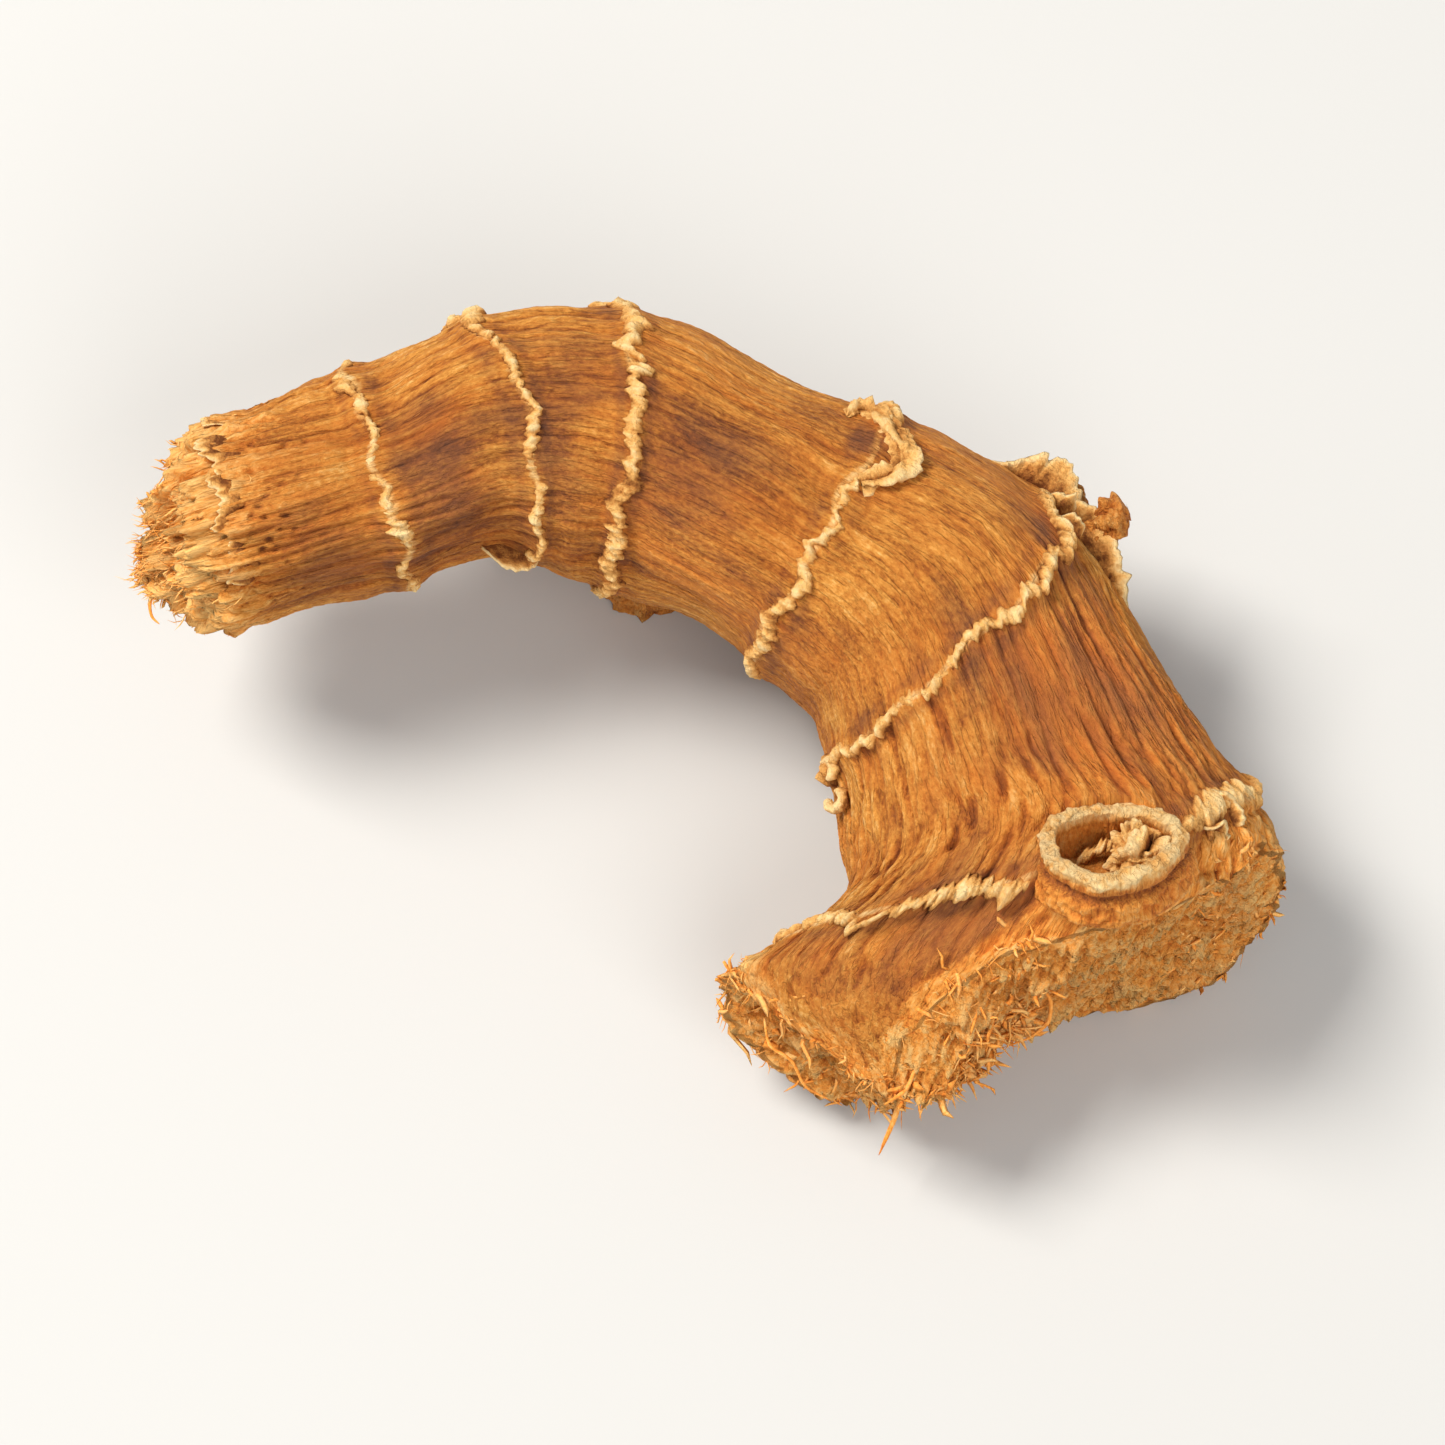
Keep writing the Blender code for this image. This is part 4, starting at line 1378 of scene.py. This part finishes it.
@dataclass
class TornFibres:
    """Loose fibres and teeth of torn flesh round both ends."""

    seed: int = 5
    segments: int = 4
    lowest: float = -17.3
    squeeze: float = 0.65
    flatness: float = 0.85
    lobe_end: float = 14.0
    face_start: float = 12.5
    table_clear: float = 0.6
    slender_tufts: tuple[Tuft, ...] = (
        Tuft(700, (0.3, 0.65), (0.03, 0.075), (0.025, 0.05), 0.7, (-0.95, -0.3, 0.0), 0.25, 0.02),
        Tuft(1100, (0.2, 0.5), (0.016, 0.032), (0.014, 0.026), 1.6, (-0.95, -0.3, 0.0), 0.45, 0.06),
    )
    lobe_tufts: tuple[Tuft, ...] = (
        Tuft(190, (0.5, 1.1), (0.1, 0.22), (0.06, 0.1), 0.9, (0.6, -0.5, 0.0), 0.5, -0.06),
        Tuft(800, (0.35, 0.9), (0.05, 0.1), (0.03, 0.06), 1.4, (0.6, -0.5, 0.0), 0.65, -0.08),
        Tuft(700, (0.3, 0.6), (0.018, 0.036), (0.016, 0.03), 2.0, (0.3, -0.6, 0.0), 0.8, -0.03),
        Tuft(5, (1.0, 1.6), (0.06, 0.09), (0.05, 0.07), 1.4, (-0.3, -0.9, 0.1), 0.5, 0.05),
    )
    face_tufts: tuple[Tuft, ...] = (
        Tuft(260, (0.25, 0.6), (0.06, 0.13), (0.04, 0.07), 0.9, (0.1, -0.7, 0.35), 0.9, 0.0),
        Tuft(250, (0.2, 0.4), (0.014, 0.03), (0.014, 0.025), 2.0, (0.1, -0.7, 0.35), 1.0, 0.03),
    )

    def strands(
        self, roots: np.ndarray, ways: np.ndarray, flat: np.ndarray, tuft: Tuft,
        draw: np.random.Generator, start: int,
    ) -> tuple[np.ndarray, list[np.ndarray]]:
        """Tapered three-sided strands, each with its own bend.

        Args:
            roots: Where each starts.
            ways: Which way each sets out.
            flat: The direction that each is thin in.
            tuft: Their sizes.
            draw: The source of chance.
            start: Number of the first point.

        Returns:
            Points and faces.
        """
        count = len(roots)
        lengths = draw.uniform(*tuft.reach, count)
        widths, thins = draw.uniform(*tuft.wide, count), draw.uniform(*tuft.thin, count)
        curls = draw.uniform(0.2, 1.0, count) * tuft.curl
        ways, over = unit(ways), unit(flat)
        bend, twist = draw.normal(size=(2, count, 3))
        bend = unit(bend - self.flatness * together(bend, over) * over) * curls[:, None]
        twist = unit(twist - self.flatness * together(twist, over) * over) * 0.5 * curls[:, None]
        t = np.linspace(0, 1, self.segments + 1)
        path = t[:, None] * ways[:, None, :] + (t**2)[:, None] * bend[:, None, :]
        path = path + (0.3 * np.sin(2 * math.pi * t))[:, None] * twist[:, None, :]
        path = roots[:, None, :] + lengths[:, None, None] * path
        way = unit(np.gradient(path, axis=1))
        side = unit(np.cross(way, over[:, None, :]) + 1e-6)
        thin = np.cross(side, way)
        taper = np.maximum(1 - t**6, 0) ** 0.6 + 0.12
        wide, slim = (widths[:, None] * taper)[..., None] * side, (thins[:, None] * taper)[..., None] * thin
        points = np.stack([path + wide, path + slim, path - wide], axis=2).reshape(-1, 3)
        size = 3 * (self.segments + 1)
        shift = (np.arange(count) * size)[:, None, None] + start
        sides = (grid_faces(self.segments + 1, 3)[:, ::-1][None, :, :] + shift).reshape(-1, 4)
        ends = (np.array([(0, 1, 2), (size - 1, size - 2, size - 3)])[None, :, :] + shift).reshape(-1, 3)
        return points, [sides, ends]

    def planted(
        self, source: Piece, normals: np.ndarray, where: np.ndarray, tufts: tuple[Tuft, ...],
        draw: np.random.Generator, start: int,
    ) -> tuple[list[np.ndarray], list[np.ndarray]]:
        """Tufts planted on a piece, lying mostly along its surface.

        Args:
            source: The piece.
            normals: The way its surface faces at each point.
            where: How likely each of its points is.
            tufts: The kinds of fibre.
            draw: The source of chance.
            start: Number of the first point.

        Returns:
            Points and faces.
        """
        bodies, faces = [], []
        for tuft in tufts:
            chosen = draw.choice(len(where), size=tuft.count, p=where / where.sum())
            facing = normals[chosen]
            ways = unit(np.array(tuft.way) + draw.normal(scale=tuft.stray, size=(tuft.count, 3)))
            ways = ways + (tuft.lift - self.flatness * together(ways, facing)) * facing
            roots = source.points[chosen] - 0.08 * facing + draw.normal(scale=0.05, size=(tuft.count, 3))
            flat = facing + draw.normal(scale=0.25, size=(tuft.count, 3))
            body, squares = self.strands(roots, ways, flat, tuft, draw, start)
            bodies.append(body)
            faces += squares
            start += len(body)
        return bodies, faces

    def slender_chance(self, source: Piece) -> np.ndarray:
        """Where fibres start on the slender end."""
        return source.marks["torn"] ** 4

    def flared_chance(self, source: Piece) -> tuple[np.ndarray, np.ndarray]:
        """Where fibres start on the flared end.

        Args:
            source: The flared length of bark.

        Returns:
            How likely each of its points is, for the lobe and for the broken face.
        """
        points, torn = source.points, source.marks["torn"] ** 5
        share, _ = CUP.local(points)
        clear = torn * (points[:, 2] > self.table_clear)
        lobe = clear * (points[:, 0] < self.lobe_end) * (points[:, 1] < -6.5) * (share > 1.1)
        face = clear * (points[:, 0] >= self.face_start) * (points[:, 1] < -5.0) * (share > 1.3)
        return lobe, face

    def tufted(
        self, name: str, source: Piece, where: list[np.ndarray], tufts: list[tuple[Tuft, ...]],
        seed: int, tone: float,
    ) -> Piece:
        """Loose fibres of one end as one piece.

        Args:
            name: The piece's name.
            source: The bark that they grow on.
            where: How likely each of its points is, for each group of tufts.
            tufts: The groups.
            seed: Which pattern.
            tone: How pale they are.

        Returns:
            The piece.
        """
        draw = np.random.default_rng(self.seed + seed)
        ways = normals_of(source.points, source.faces)
        bodies, faces = [], []
        for chance, group in zip(where, tufts):
            more, squares = self.planted(source, ways, chance, group, draw, sum(len(body) for body in bodies))
            bodies += more
            faces += squares
        body = np.vstack(bodies)
        past = np.minimum(body[:, 1] - self.lowest, 0)
        body[:, 1] = body[:, 1] - self.squeeze * past
        size = 3 * (self.segments + 1)
        own = np.repeat(draw.uniform(0, 1, len(body) // size), size)
        tip = np.tile(np.repeat(np.linspace(0, 1, self.segments + 1), 3), len(body) // size)
        marks = {
            "fold": np.clip(0.25 + 0.5 * own + 0.2 * tip, 0, 1),
            "tone": 0.5 * own + tone,
            "rust": 0.6 + 0.4 * noise(body / 2.0, 96),
            "grain": body,
        }
        return Piece(name, body, faces, Tissue.FLESH, marks)

    def pieces(self, slender: Piece, flared: Piece) -> list[Piece]:
        """The loose fibres of both ends.

        Args:
            slender: The slender length of bark.
            flared: The flared length of bark.

        Returns:
            Their pieces.
        """
        edge = [self.slender_chance(slender)]
        broken = list(self.flared_chance(flared))
        flared_tufts = [self.lobe_tufts, self.face_tufts]
        return [
            self.tufted("slender_end_fibres", slender, edge, [self.slender_tufts], seed=0, tone=0.4),
            self.tufted("flared_end_fibres", flared, broken, flared_tufts, seed=1, tone=-0.05),
        ]

    def threads(self) -> Piece:
        """The few long threads that stand out of the torn flesh.

        Returns:
            One piece.
        """
        parts = [
            Stub(((-23.2, 7.1, 8.6), (-24.3, 7.6, 8.6), (-25.2, 7.85, 8.4), (-25.7, 7.5, 8.2),
                  (-25.6, 6.7, 8.0), (-25.2, 6.4, 7.9)),
                 (0.11, 0.11, 0.1, 0.09, 0.07, 0.03), 401, 1.0, 0.03, 0.3, 0.2, 30, 10),
            Stub(((7.3, -16.0, 6.4), (8.3, -15.5, 6.9), (8.7, -14.6, 7.6), (9.7, -14.1, 7.7),
                  (10.3, -13.1, 8.1)),
                 (0.04, 0.08, 0.075, 0.06, 0.03), 421, 1.0, 0.05, 0.4, 0.2, 34, 12),
            Stub(((14.2, -10.6, 7.2), (14.8, -11.1, 6.4), (14.7, -11.8, 5.4), (13.8, -12.4, 5.0),
                  (12.6, -13.0, 5.5)),
                 (0.05, 0.09, 0.08, 0.07, 0.03), 431, 1.0, 0.05, 0.4, 0.2, 34, 12),
            Stub(((2.0, -11.5, 5.2), (2.2, -12.7, 4.9), (3.3, -13.2, 4.5), (3.8, -14.2, 3.6),
                  (5.0, -14.6, 3.0)),
                 (0.04, 0.08, 0.075, 0.06, 0.03), 441, 1.0, 0.05, 0.4, 0.2, 34, 12),
            Stub(((8.1, -15.0, 4.6), (7.8, -15.9, 4.2), (7.4, -16.7, 3.7), (7.1, -17.3, 3.3)),
                 (0.12, 0.11, 0.09, 0.04), 451, 1.0, 0.05, 0.4, 0.2, 30, 12),
            Stub(((0.2, -9.6, 7.4), (0.9, -10.6, 7.0), (2.0, -11.2, 6.9), (3.2, -11.4, 7.2)),
                 (0.05, 0.1, 0.09, 0.04), 461, 1.0, 0.05, 0.4, 0.2, 30, 12),
        ]
        return gathered("loose_threads", parts, Tissue.FLESH, {"tone": 0.1, "rust": 0.5})


class Nodes:
    """Short ways to add and join shader nodes in one tree."""

    def __init__(self, tree: bpy.types.NodeTree) -> None:
        """Keeps the tree."""
        self.tree = tree

    def add(self, kind: str, **settings: object) -> bpy.types.Node:
        """Adds a node.

        Args:
            kind: The node's type.
            settings: Its own settings by name.

        Returns:
            The node.
        """
        node = self.tree.nodes.new(kind)
        for key, value in settings.items():
            setattr(node, key, value)
        return node

    def link(self, source: Socket, target: Socket) -> None:
        """Joins two sockets."""
        self.tree.links.new(source, target)

    def fill(self, socket: Socket, value: object) -> None:
        """Gives a socket its value.

        Args:
            socket: The socket.
            value: Another socket to link, or a number or colour to set.
        """
        if isinstance(value, Socket):
            self.link(value, socket)
        else:
            socket.default_value = value

    def math(
        self, kind: str, first: object, second: object = 0.0, third: object = 0.0, held: bool = False
    ) -> Socket:
        """A sum on one, two or three values.

        Args:
            kind: Which sum.
            first: The first value.
            second: The second.
            third: The third.
            held: Whether the answer is held between 0 and 1.

        Returns:
            The answer.
        """
        node = self.add("ShaderNodeMath", operation=kind, use_clamp=held)
        for socket, value in zip(node.inputs, (first, second, third)):
            self.fill(socket, value)
        return node.outputs[0]

    def stretched(self, vector: Socket, scale: Triple) -> Socket:
        """A vector with each part multiplied.

        Args:
            vector: The vector.
            scale: What each part is multiplied by.

        Returns:
            The new vector.
        """
        node = self.add("ShaderNodeVectorMath", operation="MULTIPLY")
        self.link(vector, node.inputs[0])
        node.inputs[1].default_value = scale
        return node.outputs[0]

    def cloud(self, vector: Socket, detail: float, roughness: float = 0.55) -> Socket:
        """Noise at a vector.

        Args:
            vector: Where to read it.
            detail: How many finer layers it has.
            roughness: How strong they are.

        Returns:
            A value from 0 to 1.
        """
        node = self.add("ShaderNodeTexNoise")
        self.link(vector, node.inputs["Vector"])
        node.inputs["Scale"].default_value = 1.0
        node.inputs["Detail"].default_value = detail
        node.inputs["Roughness"].default_value = roughness
        return node.outputs["Fac"]

    def ramp(self, value: Socket, stops: tuple[tuple[float, Triple], ...]) -> Socket:
        """A colour that changes with a value.

        Args:
            value: The value, read between 0 and 1.
            stops: Pairs of value and colour.

        Returns:
            The colour.
        """
        node = self.add("ShaderNodeValToRGB")
        self.link(value, node.inputs[0])
        band = node.color_ramp
        while len(band.elements) < len(stops):
            band.elements.new(0.5)
        for element, (place, colour) in zip(band.elements, stops):
            element.position = place
            element.color = (*colour, 1.0)
        return node.outputs[0]

    def mixed(self, share: object, first: object, second: object) -> Socket:
        """Two colours mixed by a share.

        Args:
            share: How much of the second.
            first: The first colour.
            second: The second colour.

        Returns:
            The mixed colour.
        """
        node = self.add("ShaderNodeMix", data_type="RGBA")
        self.fill(node.inputs[0], share)
        self.fill(node.inputs[6], first)
        self.fill(node.inputs[7], second)
        return node.outputs[2]

    def mark(self, name: str) -> bpy.types.Node:
        """One of the marks that a piece carries."""
        return self.add("ShaderNodeAttribute", attribute_name=name)


def new_group(
    name: str, inputs: tuple[tuple[str, str], ...], outputs: tuple[tuple[str, str], ...]
) -> tuple[bpy.types.NodeTree, Nodes, bpy.types.Node, bpy.types.Node]:
    """An empty shader group with named sockets.

    Args:
        name: The group's name.
        inputs: Names and kinds of its inputs.
        outputs: Names and kinds of its outputs.

    Returns:
        The group, its helper, its input node and its output node.
    """
    tree = bpy.data.node_groups.new(name, "ShaderNodeTree")
    for label, kind in inputs:
        tree.interface.new_socket(name=label, in_out="INPUT", socket_type=kind)
    for label, kind in outputs:
        tree.interface.new_socket(name=label, in_out="OUTPUT", socket_type=kind)
    nodes = Nodes(tree)
    return tree, nodes, nodes.add("NodeGroupInput"), nodes.add("NodeGroupOutput")


@dataclass(frozen=True)
class FibreGrain:
    """Lengthwise streaks, flecks, creases and fine relief, shared by every tissue.

    Each kind is given as how many of its features there are to a millimetre: two numbers across the fibres,
    one along them.
    """

    name: str = "fibre_grain"
    streaks: Triple = (3.4, 3.4, 0.36)
    flecks: Triple = (6.0, 6.0, 3.0)
    blotches: Triple = (0.8, 0.8, 0.36)
    creases: Triple = (2.2, 2.2, 0.22)
    pores: Triple = (9.0, 9.0, 1.8)

    def build(self) -> bpy.types.NodeTree:
        """The shader group.

        Returns:
            A group from Grain to Streak, Fleck, Blotch, Crease and Relief.
        """
        labels = ("Streak", "Fleck", "Blotch", "Crease", "Relief")
        sockets = tuple((label, "NodeSocketFloat") for label in labels)
        tree, nodes, start, end = new_group(self.name, (("Grain", "NodeSocketVector"),), sockets)
        grain = start.outputs["Grain"]
        streak = nodes.cloud(nodes.stretched(grain, self.streaks), 7.0, 0.7)
        fleck = nodes.cloud(nodes.stretched(grain, self.flecks), 5.0, 0.68)
        blotch = nodes.cloud(nodes.stretched(grain, self.blotches), 4.0, 0.6)
        lines = nodes.cloud(nodes.stretched(grain, self.creases), 3.0, 0.55)
        apart = nodes.math("ABSOLUTE", nodes.math("SUBTRACT", lines, 0.5))
        crease = nodes.math("MULTIPLY_ADD", apart, -28.0, 1.0, held=True)
        fine = nodes.cloud(nodes.stretched(grain, self.pores), 5.0, 0.65)
        relief = nodes.math("MULTIPLY_ADD", fleck, 0.9, fine)
        relief = nodes.math("MULTIPLY_ADD", crease, -0.35, relief)
        for label, value in zip(labels, (streak, fleck, blotch, crease, relief)):
            nodes.link(value, end.inputs[label])
        return tree


@dataclass(frozen=True)
class TissueColour:
    """Colours of one tissue from its deepest hollows, dark as painted shade, to its crests, and what moves
    them.
    """

    name: str
    weights: tuple[tuple[str, float], ...]
    middle: float
    stops: tuple[tuple[float, Triple], ...]
    rust: Colour = (0.62, 0.16, 0.016, 1.0)
    rust_share: float = 0.0
    dusk: Colour = (0.15, 0.066, 0.034, 1.0)
    dusk_share: float = 0.0

    def build(self) -> bpy.types.NodeTree:
        """The shader group.

        Returns:
            A group from Fold, Tone, Rust, Streak, Fleck, Blotch and Crease to Colour.
        """
        labels = ("Fold", "Tone", "Rust", "Streak", "Fleck", "Blotch", "Crease")
        sockets = tuple((label, "NodeSocketFloat") for label in labels)
        tree, nodes, start, end = new_group(self.name, sockets, (("Colour", "NodeSocketColor"),))
        level: Socket | float = self.middle
        for label, weight in self.weights:
            level = nodes.math("MULTIPLY_ADD", start.outputs[label], weight, level)
        colour = nodes.ramp(level, self.stops)
        if self.rust_share:
            rusty = nodes.math("MULTIPLY_ADD", start.outputs["Rust"], 0.9, -1.0)
            rusty = nodes.math("MULTIPLY_ADD", start.outputs["Blotch"], 1.8, rusty, held=True)
            colour = nodes.mixed(nodes.math("MULTIPLY", rusty, self.rust_share), colour, self.rust)
        if self.dusk_share:
            dark = nodes.math("MULTIPLY_ADD", start.outputs["Blotch"], -1.3, 0.6)
            dark = nodes.math("MULTIPLY_ADD", start.outputs["Tone"], -1.1, dark, held=True)
            colour = nodes.mixed(nodes.math("MULTIPLY", dark, self.dusk_share), colour, self.dusk)
        nodes.link(colour, end.inputs["Colour"])
        return tree


# Fold darkens hollows and Crease darkens the fine creases, as painted shade.
COLOURS = (
    TissueColour(
        "bark_colour",
        (("Fold", 0.6), ("Streak", 0.75), ("Fleck", 1.1), ("Tone", 0.28), ("Crease", -0.08)),
        -0.72,
        ((0.0, (0.085, 0.015, 0.002)), (0.25, (0.27, 0.066, 0.007)), (0.5, (0.53, 0.176, 0.021)),
         (0.75, (0.74, 0.31, 0.05)), (1.0, (0.93, 0.53, 0.165))),
        rust_share=0.6,
        dusk_share=0.5,
    ),
    TissueColour(
        "torn_colour",
        (("Fold", 0.75), ("Streak", 0.6), ("Fleck", 1.3), ("Tone", 0.3), ("Crease", -0.08)),
        -0.76,
        ((0.0, (0.28, 0.05, 0.004)), (0.3, (0.66, 0.19, 0.02)), (0.6, (0.94, 0.37, 0.058)),
         (1.0, (0.98, 0.58, 0.19))),
        rust_share=0.35,
    ),
    TissueColour(
        "cork_colour",
        (("Fold", 1.1), ("Fleck", 0.8), ("Tone", 0.28), ("Streak", 0.25), ("Crease", -0.05)),
        -0.58,
        ((0.0, (0.20, 0.058, 0.010)), (0.3, (0.57, 0.235, 0.05)), (0.6, (0.88, 0.475, 0.14)),
         (1.0, (0.97, 0.70, 0.33))),
        rust_share=0.3,
    ),
)


@dataclass(frozen=True)
class TissueFinish:
    """How one tissue of the root is finished."""

    tissue: Tissue
    roughness: float
    bump: float
    specular: float
    relief: float = 0.2 * MM

    def material(self, groups: dict[str, bpy.types.NodeTree]) -> bpy.types.Material:
        """The tissue's material.

        Args:
            groups: The shared shader groups by name.

        Returns:
            The material.
        """
        material = bpy.data.materials.new(self.tissue.value)
        material.use_nodes = True
        nodes = Nodes(material.node_tree)
        shader = material.node_tree.nodes["Principled BSDF"]
        grain = nodes.add("ShaderNodeGroup", node_tree=groups["fibre_grain"])
        nodes.link(nodes.mark("grain").outputs["Vector"], grain.inputs["Grain"])
        values = {label: grain.outputs[label] for label in ("Streak", "Fleck", "Blotch", "Crease")}
        for label in ("Fold", "Tone", "Rust", "Torn", "Cork"):
            values[label] = nodes.mark(label.lower()).outputs["Fac"]

        def coloured(name: str) -> Socket:
            """The colour that a group gives this tissue.

            Args:
                name: Which group.

            Returns:
                The colour.
            """
            node = nodes.add("ShaderNodeGroup", node_tree=groups[name])
            for socket in node.inputs:
                nodes.link(values[socket.name], socket)
            return node.outputs["Colour"]

        if self.tissue is Tissue.BARK:
            ragged = nodes.math("MULTIPLY_ADD", values["Torn"], 1.8, -1.0)
            ragged = nodes.math("MULTIPLY_ADD", values["Fleck"], 1.2, ragged, held=True)
            colour = nodes.mixed(ragged, coloured("bark_colour"), coloured("torn_colour"))
            corky = nodes.math("MULTIPLY_ADD", values["Cork"], 1.6, -1.0)
            corky = nodes.math("MULTIPLY_ADD", values["Fleck"], 1.2, corky, held=True)
            colour = nodes.mixed(corky, colour, coloured("cork_colour"))
        else:
            colour = coloured("cork_colour" if self.tissue is Tissue.CORK else "torn_colour")
        nodes.link(colour, shader.inputs["Base Color"])
        rough = nodes.math("MULTIPLY_ADD", values["Streak"], 0.25, self.roughness - 0.12)
        nodes.link(rough, shader.inputs["Roughness"])
        shader.inputs["Specular IOR Level"].default_value = self.specular
        bump = nodes.add("ShaderNodeBump")
        bump.inputs["Strength"].default_value = self.bump
        bump.inputs["Distance"].default_value = self.relief
        nodes.link(grain.outputs["Relief"], bump.inputs["Height"])
        nodes.link(bump.outputs["Normal"], shader.inputs["Normal"])
        return material


FINISHES = (
    TissueFinish(Tissue.BARK, roughness=0.7, bump=1.0, specular=0.3),
    TissueFinish(Tissue.CORK, roughness=0.8, bump=0.8, specular=0.25),
    TissueFinish(Tissue.FLESH, roughness=0.75, bump=0.4, specular=0.25),
)


@dataclass(frozen=True)
class Lamp:
    """A square soft light."""

    name: str
    at: Triple
    size: float
    power: float
    colour: Triple

    def hang(self, aim: Triple) -> None:
        """Hangs the light in the scene.

        Args:
            aim: The point that it shines at.
        """
        data = bpy.data.lights.new(self.name, "AREA")
        data.size, data.energy, data.color = self.size, self.power, self.colour
        made = bpy.data.objects.new(self.name, data)
        made.location = self.at
        made.rotation_euler = (Vector(aim) - Vector(self.at)).to_track_quat("-Z", "Y").to_euler()
        bpy.context.scene.collection.objects.link(made)


@dataclass
class Studio:
    """The pale table, the lights and the camera."""

    lamps: tuple[Lamp, ...] = (
        Lamp("key", (-0.30, 0.14, 0.46), 0.22, 4.0, (1.0, 0.97, 0.92)),
        Lamp("fill", (0.22, -0.42, 0.40), 0.5, 2.5, (1.0, 0.98, 0.95)),
    )
    sky_colour: Colour = (0.95, 0.97, 1.0, 1.0)
    sky_strength: float = 0.38
    table_size: float = 3.0
    table_colour: Colour = (0.56, 0.555, 0.54, 1.0)
    elevation: float = 68.0
    distance: float = 0.36
    lens: float = 200.0
    aim: Triple = (0.0003, -0.0004, 0.0078)

    def table(self) -> None:
        """The matt table that the root lies on."""
        mesh = bpy.data.meshes.new("table")
        half = self.table_size / 2
        corners = [(-half, -half, 0), (half, -half, 0), (half, half, 0), (-half, half, 0)]
        mesh.from_pydata(corners, [], [(0, 1, 2, 3)])
        made = bpy.data.objects.new("table", mesh)
        material = bpy.data.materials.new("pale_table")
        material.use_nodes = True
        shader = material.node_tree.nodes["Principled BSDF"]
        shader.inputs["Base Color"].default_value = self.table_colour
        shader.inputs["Roughness"].default_value = 0.85
        mesh.materials.append(material)
        bpy.context.scene.collection.objects.link(made)

    def lights(self) -> None:
        """A soft key from behind on the left, a weak fill and an even sky."""
        for lamp in self.lamps:
            lamp.hang(self.aim)
        world = bpy.data.worlds.new("soft_sky")
        world.use_nodes = True
        sky = world.node_tree.nodes["Background"]
        sky.inputs["Color"].default_value = self.sky_colour
        sky.inputs["Strength"].default_value = self.sky_strength
        bpy.context.scene.world = world

    def camera(self) -> None:
        """The camera, at the photograph's angle over the root."""
        data = bpy.data.cameras.new("camera")
        data.lens, data.sensor_width = self.lens, 36.0
        data.clip_start, data.clip_end = 0.01, 20.0
        made = bpy.data.objects.new("camera", data)
        tilt = math.radians(self.elevation)
        back = Vector((0.0, -math.cos(tilt), math.sin(tilt)))
        made.location = Vector(self.aim) + back * self.distance
        made.rotation_euler = (-back).to_track_quat("-Z", "Y").to_euler()
        bpy.context.scene.collection.objects.link(made)
        bpy.context.scene.camera = made

    def build(self) -> None:
        """Sets up the studio."""
        self.table()
        self.lights()
        self.camera()
        settings = bpy.context.scene.view_settings
        settings.view_transform = "Standard"
        settings.look = "None"


def finishes() -> dict[Tissue, bpy.types.Material]:
    """The material of each tissue."""
    groups = {part.name: part.build() for part in (FibreGrain(), *COLOURS)}
    return {finish.tissue: finish.material(groups) for finish in FINISHES}


def main() -> None:
    """Builds the root piece by piece, then the studio."""
    logging.basicConfig(level=logging.INFO, format="%(message)s")
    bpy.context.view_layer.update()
    dressed = finishes()
    lengths = [BARK.piece(length) for length in BARK.lengths]
    fibres, growths = TornFibres(), Outgrowths()
    pieces = lengths + [LeafScars().piece(), CUP.piece(), CUP.bud(), growths.cork(), growths.bark()]
    pieces += fibres.pieces(lengths[0], lengths[-1]) + [fibres.threads()]
    made = [piece.place(dressed) for piece in pieces]
    for skin in made[: len(lengths)]:
        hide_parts("rhizome")
    Studio().build()
    bpy.context.view_layer.update()


if __name__ == "__main__":
    main()
